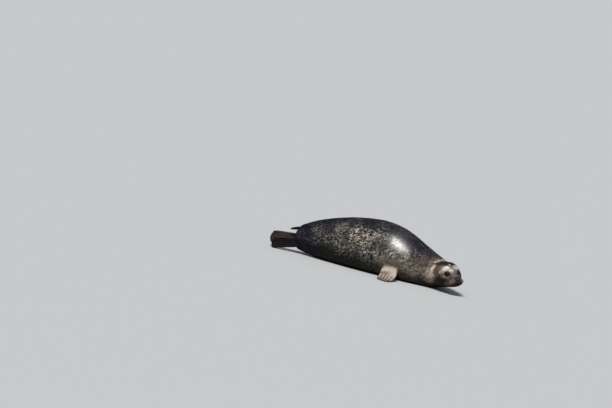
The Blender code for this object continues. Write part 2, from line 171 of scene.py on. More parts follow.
# The flat facets of the solids are smoothed away: a little on the face, and more towards the trunk.
before, after = np.diff(rings)[:-1, None], np.diff(rings)[1:, None]
trunk_share = ramp(rings, 0.09, 0.30)[:, None]
SMOOTHINGS, FACE_SMOOTHINGS = 28, 4
for step in range(SMOOTHINGS):
    around = (np.roll(radii, 1, 1) + np.roll(radii, -1, 1)) / 2
    along = radii.copy()
    along[1:-1] = (radii[:-2] * after + radii[2:] * before) / (before + after)
    share = 0.5 * (1.0 if step < FACE_SMOOTHINGS else trunk_share)
    radii = radii + share * ((around + along) / 2 - radii)
    radii[[0, -1]] = 0.0
coat_depth = COAT_ON_FACE + (COAT_ON_BODY - COAT_ON_FACE) * ramp(rings, 0.06, 0.30)
radii = np.maximum(radii - coat_depth[:, None], 0.0)

# Pushes that model the face: where (back, side, up), how wide, by how much (back, out to the side, up).
FACE_PUSHES = (
    ((0.000, 0.000, 0.094), 0.0060, (0.0042, 0.0, 0.0)),  # groove below the nose
    ((0.002, 0.000, 0.116), 0.0040, (0.0016, 0.0, -0.0008)),  # cleft between the nostrils
    ((0.002, 0.0175, 0.117), 0.0060, (-0.0016, 0.0022, 0.0006)),  # outer wings of the nostrils
    ((0.020, 0.016, 0.124), 0.0120, (0.0, 0.0, -0.0020)),  # behind the wings
    ((0.006, 0.018, 0.096), 0.0130, (-0.0052, 0.0032, -0.0010)),  # front of the whisker pads
    ((0.026, 0.034, 0.095), 0.0160, (-0.0010, 0.0062, -0.0018)),  # back of the whisker pads
    ((0.052, 0.032, 0.118), 0.0120, (0.0, -0.0022, 0.0)),  # hollow between pad and eye
    ((0.058, 0.000, 0.148), 0.0160, (0.0, 0.0, -0.0020)),  # dip of the bridge
    ((0.110, 0.048, 0.166), 0.0150, (0.0, 0.0016, 0.0020)),  # brow
    ((0.112, 0.062, 0.118), 0.0180, (0.0, 0.0030, 0.0)),  # cheek
    ((0.072, 0.046, 0.108), 0.0110, (0.0, -0.0018, 0.0)),  # below the eye
    ((0.012, 0.000, 0.078), 0.0120, (-0.0030, 0.0, -0.0010)),  # chin
)
# Creases: (back, up) of their two ends on one side, depth, half width, and their side (0 is both).
CREASES = (
    ((0.215, 0.030), (0.262, 0.170), 0.0022, 0.0110, -1),  # neck, on the inside of its bend
    ((0.270, 0.020), (0.318, 0.170), 0.0028, 0.0140, -1),
    ((0.340, 0.030), (0.385, 0.180), 0.0022, 0.0160, -1),
    ((0.230, 0.030), (0.280, 0.160), 0.0010, 0.0130, 1),
    ((0.505, 0.060), (0.545, 0.150), 0.0040, 0.0140, 0),  # in front of the fore flipper
    ((0.690, 0.030), (0.650, 0.150), 0.0042, 0.0170, 0),  # armpit
    ((0.090, 0.070), (0.140, 0.052), 0.0018, 0.0065, 0),  # corner of the mouth to the throat
    ((1.215, 0.040), (1.200, 0.150), 0.0020, 0.0110, 0),  # where the hips narrow
    ((1.258, 0.040), (1.245, 0.150), 0.0020, 0.0100, 0),
)
MOUTH_BACK, MOUTH_FRONT_HEIGHT, MOUTH_BACK_HEIGHT = 0.084, 0.0840, 0.0760
MOUTH_RISE, MOUTH_CORNER, LIP_DEPTH, LIP_PARTING = 0.005, 0.004, 0.0018, 0.0016


def mouth_height(back):
    """The height of the line between the lips: highest below the nose, turned up a little at the corner."""
    share = np.clip(np.asarray(back, float) / MOUTH_BACK, 0.0, 1.0)
    line = MOUTH_FRONT_HEIGHT + (MOUTH_BACK_HEIGHT - MOUTH_FRONT_HEIGHT) * share
    return line + MOUTH_RISE * np.exp(-((share / 0.10) ** 2)) + MOUTH_CORNER * share**4


def bell(distance):
    return np.exp(-(distance**2))


def pushed(points):
    """The straight hide with its face modelled and its creases pressed in."""
    points = points.copy()
    side = np.where(points[:, 1] < 0, -1.0, 1.0)
    mirrored = np.stack([points[:, 0], np.abs(points[:, 1]), points[:, 2]], -1)
    moved = np.zeros_like(points)
    for where, radius, by in FACE_PUSHES:
        weight = bell(long(mirrored - where) / radius)
        moved += weight * np.array(by) * np.stack([np.ones_like(side), side, np.ones_like(side)], -1)
    inward = np.stack([0 * side, -points[:, 1], core_height(points[:, 0]) - points[:, 2]], -1)
    inward = unit(inward)
    for start, end, depth, width, on in CREASES:
        rise = (points[:, 2] - start[1]) / (end[1] - start[1])
        line = start[0] + (end[0] - start[0]) * rise + 0.006 * np.sin(3 * rise)
        within = ramp(rise, -0.25, 0.25) * (1 - ramp(rise, 0.75, 1.25))
        weight = within * bell((points[:, 0] - line) / width) * (1.0 if on == 0 else side == on)
        moved += inward * (depth * weight * ramp(np.abs(points[:, 1]), 0.004, 0.03))[:, None]
    lips = bell((points[:, 2] - mouth_height(points[:, 0])) / 0.0032)
    lips *= 1 - ramp(points[:, 0], 0.070, 0.092)
    moved[:, 1] -= side * LIP_DEPTH * lips * ramp(np.abs(points[:, 1]), 0.004, 0.02)
    moved[:, 0] += LIP_PARTING * lips * (1 - ramp(points[:, 0], 0.004, 0.02))
    return points + moved


LID_THICKNESS, LID_RIM, LEAST_LID = 0.0012, 0.0007, 0.0009


def lidded(points):
    """The hide drawn close over each eyeball, as lids are, with a soft hollow round them."""
    for side, centre in EYE_AT.items():
        away = points - np.array(centre)
        far = long(away)[:, 0]
        apart = np.arccos(np.clip(unit(away) @ GAZE[side], -1, 1))
        hug = (1 - ramp(apart, 0.95, 1.50)) * (far < 0.05)
        lid = EYE_RADIUS + LID_THICKNESS + LID_RIM * bell((apart - 0.86) / 0.13)
        nearer = np.maximum(far + (lid - far) * hug, EYE_RADIUS + LEAST_LID)
        points = points + away / far[:, None] * (nearer - far)[:, None]
    return points


hide = bmesh.new()
bmesh.ops.create_uvsphere(hide, u_segments=RING_POINTS, v_segments=len(rings) - 1, radius=1.0)
sphere = np.array([vert.co for vert in hide.verts])
ring_of = np.rint(np.arccos(np.clip(sphere[:, 2], -1, 1)) / math.pi * (len(rings) - 1)).astype(int)
spoke_of = np.rint(np.arctan2(sphere[:, 1], sphere[:, 0]) / (2 * math.pi) * RING_POINTS).astype(int)
spoke_of %= RING_POINTS
reach, angle = radii[ring_of, spoke_of], ring_angles[spoke_of]
up = core_height(rings[ring_of]) + reach * np.sin(angle)
straight = lidded(pushed(np.stack([rings[ring_of], reach * np.cos(angle), up], -1)))
for vert, place in zip(hide.verts, bent(straight)):
    vert.co = (place[0], place[1], max(place[2], LEAST_HEIGHT))
bmesh.ops.recalc_face_normals(hide, faces=hide.faces[:])
hide_surface = BVHTree.FromBMesh(hide)


def in_scene(name, data):
    """An object with this mesh, light or camera, put in the scene."""
    made = bpy.data.objects.new(name, data)
    bpy.context.scene.collection.objects.link(made)
    return made


def new_piece(name, bm):
    """A mesh object in the scene, its faces turned outward and shaded smooth."""
    bmesh.ops.recalc_face_normals(bm, faces=bm.faces[:])
    mesh = bpy.data.meshes.new(name)
    bm.to_mesh(mesh)
    bm.free()
    mesh.shade_smooth()
    return in_scene(name, mesh)


skin = new_piece("skin", hide)

# ----------------------------------------------------------------------
# The flippers and the tail. A hand or foot of five digits in one furred sheet: a ridge over each digit, a
# thin web between them, knuckles, and a thick root that runs into the body. They grow out of the same hide.
# ----------------------------------------------------------------------
DIGITS_ACROSS, OUTER_DIGIT, DIGIT_PITCH, CORNER_ROUNDING = (-0.8, -0.4, 0.0, 0.4, 0.8), 0.8, 0.4, 0.07
KNUCKLE, KNUCKLE_PITCH, LEAST_THICKNESS = 0.22, 0.19, 0.0012
FORE_BACK, FORE_SIDE, FORE_HEIGHT, FORE_LENGTH, FORE_HALF_WIDTH = 0.598, 0.140, 0.104, 0.262, 0.052
FORE_DIGITS, FORE_WEB = (1.00, 0.985, 0.94, 0.87, 0.79), 0.040
FORE_ROOT, FORE_TIP, FORE_RIDGE = 0.0235, 0.0030, 0.0046
FORE_HEADING, FORE_SWEEP = {-1: math.radians(-60), 1: math.radians(112)}, math.radians(14)
FORE_LEAN, FORE_LYING, FORE_WRIST, FORE_SPREAD = 0.010, 0.0078, 0.80, 0.28
HIND_BACK, HIND_LENGTHS = 1.290, {-1: 0.240, 1: 0.284}
HIND_ROOT_WIDTH, HIND_TIP_WIDTHS = 0.030, {-1: 0.037, 1: 0.045}
HIND_DIGITS, HIND_WEB = (0.950, 0.988, 1.00, 0.985, 0.945), 0.015
HIND_ROOT, HIND_TIP, HIND_RIDGE, HIND_LEAN, HIND_CUP = 0.0165, 0.0028, 0.0040, math.radians(20), 0.010
HIND_ENDS = {-1: ((-0.026, 0.080), (-0.050, 0.0330)), 1: ((0.026, 0.100), (0.006, 0.066))}
TAIL_BACK, TAIL_LENGTH, TAIL_HALF_WIDTH, TAIL_THICKNESS, TAIL_HEIGHT = 1.366, 0.122, 0.0225, 0.0118, 0.182
TAIL_TAPER, TAIL_DROP, TAIL_BLUNTNESS = 0.25, 0.034, 0.27


def digit_share(across, sharpness=1.0):
    """1 over each digit and 0 in the middle of each web."""
    return (0.5 + 0.5 * np.cos(2 * math.pi * (across + OUTER_DIGIT) / DIGIT_PITCH)) ** sharpness


def flipper_reach(across, along, digits, web):
    """How far out a point lies, as a share of the flipper's length: the webs fall short of the digits."""
    slopes = np.gradient(digits, DIGITS_ACROSS)
    k = np.clip(np.searchsorted(DIGITS_ACROSS, across) - 1, 0, 3)
    t = np.clip((across - np.take(DIGITS_ACROSS, k)) / DIGIT_PITCH, -0.5, 1.5)
    a, b = np.take(digits, k), np.take(digits, k + 1)
    curve = np.take(slopes, k) * (1 - t) - np.take(slopes, k + 1) * t
    tips = a + (b - a) * (t * t * (3 - 2 * t)) + DIGIT_PITCH * t * (1 - t) * curve
    corner = np.maximum(0.0, np.abs(across) - OUTER_DIGIT) / (1 - OUTER_DIGIT)
    return along * (tips - along**4 * (web * (1 - digit_share(across, 0.6)) + CORNER_ROUNDING * corner**2))


def flipper_thickness(across, along, root, tip, ridge):
    """Half the thickness: thick at the root, ridged over each digit, thin webs and a rounded edge."""
    base = root + (tip - root) * np.minimum(1.0, along * 1.25)
    edge = np.sqrt(np.maximum(0.0, 1 - np.abs(across) ** 3)) * np.sqrt(np.maximum(0.0, 1 - along**8))
    knuckles = 1 + KNUCKLE * np.cos(2 * math.pi * along / KNUCKLE_PITCH) * ramp(along, 0.3, 0.5)
    digit = digit_share(across, 1.6) * np.minimum(1.0, 2 * along) * (1 - 0.35 * along) * knuckles
    return LEAST_THICKNESS + edge * (base + ridge * digit)


def fore_place(side, sheet):
    """A fore flipper: it leaves the chest, comes down to the floor and lies there pointing outward."""
    across, along, thick = np.asarray(sheet, float).T
    reach = FORE_LENGTH * flipper_reach(across, along, FORE_DIGITS, FORE_WEB)
    half = FORE_HALF_WIDTH * (FORE_WRIST + FORE_SPREAD * np.sin(math.pi * np.minimum(1.0, along * 0.95)))
    turn = FORE_HEADING[side] + side * FORE_SWEEP * along
    out = np.stack([np.cos(turn), np.sin(turn)], -1)
    front = np.stack([-out[:, 1], out[:, 0]], -1) * -side
    droop = (1 - np.minimum(1.0, along * 1.25)) ** 1.35
    height = FORE_LYING + (FORE_HEIGHT - FORE_LYING) * droop - FORE_LEAN * across * droop
    height += thick * flipper_thickness(across, along, FORE_ROOT, FORE_TIP, FORE_RIDGE)
    root = bent((FORE_BACK, side * FORE_SIDE, 0.0))[:2]
    flat = root + out * reach[:, None] - front * (across * half)[:, None]
    return np.concatenate([flat, np.maximum(height, LEAST_HEIGHT)[:, None]], -1)


def hind_place(side, sheet):
    """A hind flipper: it trails back on edge, its upper edge leaning to the left."""
    across, along, thick = np.asarray(sheet, float).T
    (root_y, root_z), (tip_y, tip_z) = HIND_ENDS[side]
    down = np.array([0.0, -math.sin(HIND_LEAN), -math.cos(HIND_LEAN)])
    out = np.array([0.0, -math.cos(HIND_LEAN), math.sin(HIND_LEAN)])
    reach = HIND_LENGTHS[side] * flipper_reach(across, along, HIND_DIGITS, HIND_WEB)
    half = HIND_ROOT_WIDTH + (HIND_TIP_WIDTHS[side] - HIND_ROOT_WIDTH) * along
    bow = HIND_CUP * (across**2 - 0.5) * along
    thickness = flipper_thickness(across, along, HIND_ROOT, HIND_TIP, HIND_RIDGE)
    middle = np.stack([-reach, root_y + (tip_y - root_y) * along, root_z + (tip_z - root_z) * along], -1)
    middle += bent((HIND_BACK, 0.0, 0.0)) * (1, 1, 0)
    spot = middle + down * (across * half)[:, None] + out * (bow + thick * thickness)[:, None]
    spot[:, 2] = np.maximum(spot[:, 2], LEAST_HEIGHT)
    return spot


LIMBS = {
    "fore_flipper_left": (fore_place, 1, 64),
    "fore_flipper_right": (fore_place, -1, 64),
    "hind_flipper_left": (hind_place, 1, 52),
    "hind_flipper_right": (hind_place, -1, 52),
}
LIMB_COLUMNS = 42


def only_points(items):
    """The points among the points, edges and faces that a mesh step gives back."""
    return [item for item in items if isinstance(item, bmesh.types.BMVert)]


def thick_grid(columns, rows, size, half_depth):
    """A closed slab of the same grid above and below."""
    bm = bmesh.new()
    bmesh.ops.create_grid(bm, x_segments=columns, y_segments=rows, size=size)
    for vert in bm.verts:
        vert.co.z = half_depth
    for vert in only_points(bmesh.ops.extrude_face_region(bm, geom=bm.faces[:])["geom"]):
        vert.co.z = -half_depth
    return bm


limbs = bmesh.new()
limb_surfaces = {}
for name, (place, side, rows) in LIMBS.items():
    slab = thick_grid(LIMB_COLUMNS, rows, 1.0, 1.0)
    for vert in slab.verts:
        vert.co.y = (vert.co.y + 1) / 2
    sheet = np.array([vert.co for vert in slab.verts])
    places = place(side, sheet)
    for vert, spot in zip(slab.verts, places):
        vert.co = spot
    bmesh.ops.recalc_face_normals(slab, faces=slab.faces[:])
    limb_surfaces[name] = (BVHTree.FromBMesh(slab), places, sheet)
    loose = bpy.data.meshes.new("limb")
    slab.to_mesh(loose)
    limbs.from_mesh(loose)
    bpy.data.meshes.remove(loose)
    slab.free()
stub = bmesh.ops.create_uvsphere(limbs, u_segments=40, v_segments=28, radius=1.0)["verts"]
for vert in stub:
    x, y, z = vert.co
    share = (1 - z) / 2
    narrow = (1.0 - TAIL_TAPER * share) / max(1 - z * z, 1e-6) ** TAIL_BLUNTNESS
    back = TAIL_BACK + TAIL_LENGTH * (share - 0.5)
    up = TAIL_HEIGHT + x * TAIL_THICKNESS * narrow - TAIL_DROP * share
    vert.co = bent((back, y * TAIL_HALF_WIDTH * narrow, up))
limb_piece = new_piece("limbs", limbs)


def applied_boolean(piece, other, operation):
    """Joins the other mesh to the piece, or cuts it away, and removes it."""
    step = piece.modifiers.new(operation, "BOOLEAN")
    step.object, step.operation, step.solver = other, operation, "EXACT"
    graph = bpy.context.evaluated_depsgraph_get()
    mesh = bpy.data.meshes.new_from_object(piece.evaluated_get(graph))
    piece.modifiers.clear()
    old, piece.data = piece.data, mesh
    bpy.data.meshes.remove(old)
    bpy.data.objects.remove(other)


applied_boolean(skin, limb_piece, "UNION")

# The root of each limb runs into the body in a fillet: points near the join are drawn to their neighbours.
FILLET, FILLET_STEPS, FILLET_PULL = 0.018, 14, 0.7


def distances(surface, points):
    """How far each point lies from a surface."""
    return np.array([surface.find_nearest(Vector(point))[3] for point in points])


def positions(mesh):
    """The places of a mesh's points."""
    places = np.empty(len(mesh.vertices) * 3)
    mesh.vertices.foreach_get("co", places)
    return places.reshape(-1, 3)


def edge_ends(mesh):
    """The two points of each edge."""
    ends = np.empty(len(mesh.edges) * 2, int)
    mesh.edges.foreach_get("vertices", ends)
    return ends.reshape(-1, 2)


def neighbour_mean(values, ends, count):
    """The mean of each point's neighbours."""
    total, number = np.zeros_like(values), np.zeros(count)
    for a, b in ((0, 1), (1, 0)):
        np.add.at(total, ends[:, a], values[ends[:, b]])
        np.add.at(number, ends[:, a], 1)
    return total / np.maximum(number, 1)[:, None]


def nearest_limb(points, within):
    """How far each point lies from the limbs, and the nearest limb and place on its flat sheet."""
    far, which, where = np.full(len(points), 1.0), np.full(len(points), -1), np.zeros((len(points), 3))
    for number, (surface, places, sheet) in enumerate(limb_surfaces.values()):
        low, high = places.min(0) - within, places.max(0) + within
        near = np.flatnonzero(((points > low) & (points < high)).all(1))
        tree = KDTree(len(places))
        for k, place in enumerate(places):
            tree.insert(place, k)
        tree.balance()
        for k in near:
            distance = surface.find_nearest(Vector(points[k]))[3]
            if distance < far[k]:
                far[k], which[k], where[k] = distance, number, sheet[tree.find(points[k])[1]]
    return far, which, where


mesh = skin.data
places, ends = positions(mesh), edge_ends(mesh)
off_limb, _, _ = nearest_limb(places, FILLET)
near_join = np.flatnonzero(off_limb < FILLET)
weight = np.zeros(len(places))
weight[near_join] = 1 - np.maximum(off_limb[near_join], distances(hide_surface, places[near_join])) / FILLET
weight = ramp(weight, 0.0, 0.8)[:, None]
for step in range(FILLET_STEPS):
    places += FILLET_PULL * weight * (neighbour_mean(places, ends, len(places)) - places)
places[:, 2] = np.maximum(places[:, 2], LEAST_HEIGHT)
mesh.vertices.foreach_set("co", places.ravel())

# ----------------------------------------------------------------------
# The openings of the head: sockets behind the lids, two comma-shaped nostrils, the slit between the lips,
# and the bare ear holes. A true seal has no ear flaps. Each is cut into the hide.
# ----------------------------------------------------------------------
LID_HALF_LENGTH, LID_HALF_OPENING, LID_SLANT, SOCKET_GAP = 0.0152, 0.0112, 0.20, 0.0002
LID_NEAR, LID_DEEP, LID_FLARE = 0.004, 0.030, (1.14, 1.16, 1.0)
NOSTRIL_SIDE, NOSTRIL_HEIGHT, NOSTRIL_SIZE = 0.0108, 0.1135, (0.0029, 0.0070, 0.0110)
NOSTRIL_TILT, NOSTRIL_DEPTH, NOSTRIL_HOOK = math.radians(36), 0.0015, 0.0024
EAR_BACK, EAR_HEIGHT, EAR_SIZE = 0.188, 0.172, (0.0034, 0.0022, 0.0060)
LIP_GAP, SLIT_BEFORE, SLIT_WIDTH, SLIT_END = 0.0009, 0.02, 0.17, 0.002


def eye_axes(side):
    """The middle of an eye, its way of looking, and its lids' long and short ways."""
    centre = bent(EYE_AT[side])
    look = unit(bent(np.array(EYE_AT[side]) + 0.01 * GAZE[side]) - centre)
    long_way = bent(np.array(EYE_AT[side]) + (0.01, 0.0, 0.01 * LID_SLANT)) - centre
    long_way = unit(long_way - look * (long_way @ look))
    return centre, look, long_way, np.cross(look, long_way)


def placing(centre, x, y, z):
    """The matrix that stands a shape's own X, Y and Z on these directions."""
    return Matrix([[x[k], y[k], z[k], centre[k]] for k in range(3)] + [[0, 0, 0, 1]])


def on_hide(back, side, height, way):
    """Where a line along a straight direction meets the hide from outside, and the way inwards there."""
    start = bent((back - 0.1 * way[0], side - 0.1 * way[1], height - 0.1 * way[2]))
    inward = unit(bent((back, side, height)) - start)
    return np.array(hide_surface.ray_cast(Vector(start), Vector(inward))[0]), inward


def cut_nostril(bm, side):
    """A ball in the form of the comma-shaped nostril, its tail curling in below, stood in its place."""
    cup = bmesh.ops.create_uvsphere(bm, u_segments=28, v_segments=20, radius=1.0)["verts"]
    for vert in cup:
        x, y, z = vert.co
        wide = NOSTRIL_SIZE[0] * (1.0 + 0.25 * y)
        vert.co = (x * wide - curl[side] * (y * y - 0.4), y * NOSTRIL_SIZE[1], z * NOSTRIL_SIZE[2])
    bmesh.ops.transform(bm, matrix=placing(*nostrils[side]), verts=cup)


hollows, lid_openings = bmesh.new(), bmesh.new()
nostrils, ears, curl = {}, {}, {}
for side in (-1, 1):
    centre, look, long_way, short_way = eye_axes(side)
    ball = {"radius": EYE_RADIUS + SOCKET_GAP, "matrix": Matrix.Translation(centre)}
    bmesh.ops.create_uvsphere(hollows, u_segments=48, v_segments=32, **ball)
    rim = bmesh.ops.create_circle(lid_openings, cap_ends=True, segments=56, radius=1.0)["verts"]
    for vert in rim:
        x, y = vert.co.x, vert.co.y
        vert.co = (LID_HALF_LENGTH * x, LID_HALF_OPENING * math.copysign(abs(y) ** 1.25, y), LID_NEAR)
    top = only_points(bmesh.ops.extrude_face_region(lid_openings, geom=[rim[0].link_faces[0]])["geom"])
    bmesh.ops.scale(lid_openings, vec=LID_FLARE, verts=top)
    bmesh.ops.translate(lid_openings, vec=(0.0, 0.0, LID_DEEP), verts=top)
    stand = placing(centre, long_way, short_way, look)
    bmesh.ops.transform(lid_openings, matrix=stand, verts=list({*rim, *top}))
    place, inward = on_hide(0.0, NOSTRIL_SIDE * side, NOSTRIL_HEIGHT, (1.0, 0.0, 0.0))
    front = bent((0.0, 0.0, 0.0))
    upright = bent((0.0, 0.01 * math.sin(NOSTRIL_TILT) * side, 0.01 * math.cos(NOSTRIL_TILT)))
    upright = unit(upright - front)
    across = np.cross(upright, inward)
    nostrils[side] = (place + inward * NOSTRIL_DEPTH, across, upright, inward)
    curl[side] = NOSTRIL_HOOK * np.sign(across @ (bent((0, side, 0)) - front))
    cut_nostril(hollows, side)
    place, inward = on_hide(EAR_BACK, 0.05 * side, EAR_HEIGHT, (0.0, -side, -0.35))
    upright = unit((0.0, 0.0, 1.0) - inward * inward[2])
    ears[side] = (place, np.cross(upright, inward), upright, inward)
    hole = bmesh.ops.create_uvsphere(hollows, u_segments=20, v_segments=14, radius=1.0)["verts"]
    bmesh.ops.scale(hollows, vec=EAR_SIZE, verts=hole)
    bmesh.ops.transform(hollows, matrix=placing(*ears[side]), verts=hole)
slit = thick_grid(60, 40, 0.5, LIP_GAP / 2)
slit_length = MOUTH_BACK + SLIT_BEFORE - SLIT_END
for vert in slit.verts:
    vert.co.x, vert.co.y = slit_length * (vert.co.x + 0.5) - SLIT_BEFORE, SLIT_WIDTH * vert.co.y
    back, side, thick = vert.co
    end = 1 - 0.8 * ramp(back, MOUTH_BACK - 0.012, MOUTH_BACK)
    vert.co = bent((back, side, float(mouth_height(back)) + thick * end))
for name, cutter in (("hollows", hollows), ("lid_openings", lid_openings), ("mouth_slit", slit)):
    applied_boolean(skin, new_piece(name, cutter), "DIFFERENCE")
skin.data.shade_smooth()
skin.data.set_sharp_from_angle(angle=math.radians(50))

# ----------------------------------------------------------------------
# The markings, with painted light. A dark harbor seal: a slate back tinted blue as painted sky reflection,
# charcoal flanks with fine pale squiggles, an underside and throat darkened as painted shade, a chin and
# jowls partly dark brown and partly painted shade, a tan chest and neck, a pale face with brown freckles,
# pale fore flippers and dark hind ones, the lower hind one darker still as painted shade. Hide and coat
# share them.
# ----------------------------------------------------------------------
def paint(red, green, blue):
    """A colour given from 0 to 255 as it looks, as the shader takes it."""
    share = np.array((red, green, blue)) / 255
    return np.where(share <= 0.04045, share / 12.92, ((share + 0.055) / 1.055) ** 2.4)


# The slate is the dark back's own colour, its blue tint painted sky reflection.
SLATE_WITH_SKY_REFLECTION, CHARCOAL, UMBER, SOOT = paint(12, 13, 28), paint(35, 33, 34), paint(22, 21, 20), paint(9, 8, 8)
TAN, SAND, CREAM, MILK = paint(98, 86, 74), paint(158, 142, 124), paint(206, 192, 177), paint(236, 226, 216)
MUD, BISTRE, ROSE, RUST = paint(62, 54, 48), paint(106, 88, 74), paint(110, 97, 92), paint(68, 57, 53)
FLECK_TINT, FRECKLE_TINT = paint(222, 212, 194), paint(52, 42, 38)
# Patches: middle (back, out to the side, up), half sizes, colour, strength, and the side (0 is both).
PATCHES = (
    ((0.430, 0.150, 0.100), (0.150, 0.110, 0.060), TAN, 0.55, 0),  # chest behind the neck
    ((0.600, 0.190, 0.090), (0.090, 0.080, 0.050), TAN, 0.50, 0),  # round the root of the fore flipper
    ((0.310, 0.080, 0.160), (0.100, 0.110, 0.060), MUD, 0.85, 0),  # mottled neck
    ((0.226, 0.100, 0.106), (0.050, 0.070, 0.042), SAND, 0.95, 0),  # pale patch low on the neck
    ((0.216, 0.098, 0.112), (0.026, 0.040, 0.026), CREAM, 0.75, 0),
    ((0.265, 0.035, 0.188), (0.030, 0.042, 0.026), SAND, 0.90, 0),  # pale streak down to behind the ear
    ((0.260, 0.024, 0.192), (0.016, 0.020, 0.016), CREAM, 0.55, 0),
    ((0.218, 0.079, 0.154), (0.020, 0.026, 0.024), MILK, 0.80, 0),
    ((0.160, 0.000, 0.206), (0.046, 0.036, 0.036), CHARCOAL, 0.95, 0),  # dark cap of the forehead
    ((0.205, 0.000, 0.198), (0.050, 0.022, 0.040), CHARCOAL, 0.85, 0),
    ((0.158, 0.074, 0.144), (0.040, 0.036, 0.036), TAN, 0.85, 0),  # brown cheek
    ((0.140, 0.056, 0.178), (0.028, 0.026, 0.020), BISTRE, 0.92, 0),  # brown behind the brow
    ((0.112, 0.063, 0.152), (0.018, 0.018, 0.018), CREAM, 0.45, 0),
    ((0.123, 0.074, 0.143), (0.007, 0.009, 0.007), CREAM, 0.70, 0),
    ((0.100, 0.040, 0.174), (0.026, 0.034, 0.016), MILK, 0.82, 0),  # over the eyes
    ((0.074, 0.000, 0.158), (0.022, 0.026, 0.018), MILK, 0.82, 0),  # between the eyes
    ((0.063, 0.000, 0.147), (0.014, 0.020, 0.010), ROSE, 0.60, 0),  # root of the bridge
    ((0.096, 0.030, 0.174), (0.014, 0.014, 0.012), SAND, 0.45, 1),
    ((0.086, 0.060, 0.120), (0.026, 0.022, 0.018), TAN, 0.90, 0),
    ((0.085, 0.056, 0.124), (0.014, 0.014, 0.010), SAND, 0.60, 0),
    ((0.064, 0.044, 0.122), (0.014, 0.014, 0.012), SAND, 0.55, 0),  # below the eyes
    ((0.072, 0.012, 0.158), (0.018, 0.011, 0.018), MUD, 0.88, 1),  # brown spot by the far brow
    ((0.114, 0.004, 0.192), (0.007, 0.008, 0.009), CREAM, 0.75, -1),  # pale spots on the cap
    ((0.118, 0.017, 0.193), (0.009, 0.009, 0.010), SOOT, 0.95, 1),
    ((0.188, 0.058, 0.173), (0.012, 0.016, 0.013), BISTRE, 0.90, 0),  # dark skin round the ear
    ((0.040, 0.000, 0.135), (0.026, 0.034, 0.024), ROSE, 0.88, 0),  # top of the muzzle
    ((0.020, 0.024, 0.098), (0.028, 0.024, 0.020), ROSE, 0.80, 0),  # whisker pads
    ((0.042, 0.042, 0.114), (0.012, 0.012, 0.010), MUD, 0.80, 0),  # brown spots behind the pads
    ((0.102, 0.070, 0.094), (0.034, 0.040, 0.024), UMBER, 0.92, 0),  # jowl: dark brown, partly painted shade low on the side of the head
    ((0.020, 0.000, 0.066), (0.050, 0.050, 0.018), SOOT, 0.95, 0),  # chin: dark by the mouth, and darker as painted shade under the jaw
    ((0.110, 0.000, 0.045), (0.090, 0.060, 0.030), UMBER, 0.95, 0),  # throat: painted shade under the head
)

RAGGED_SEED = 2  # the patches' ragged edges are the same every time
turbulence.seed_set(RAGGED_SEED)
WETTEST, WET_REACH = np.array((0.565, 0.140, 0.235)), np.array((0.085, 0.130, 0.180))
LID_DARK, LEATHER_DARK, LIP_DARK, FLECKS_LOST = 0.92, 0.80, 0.85, 0.30


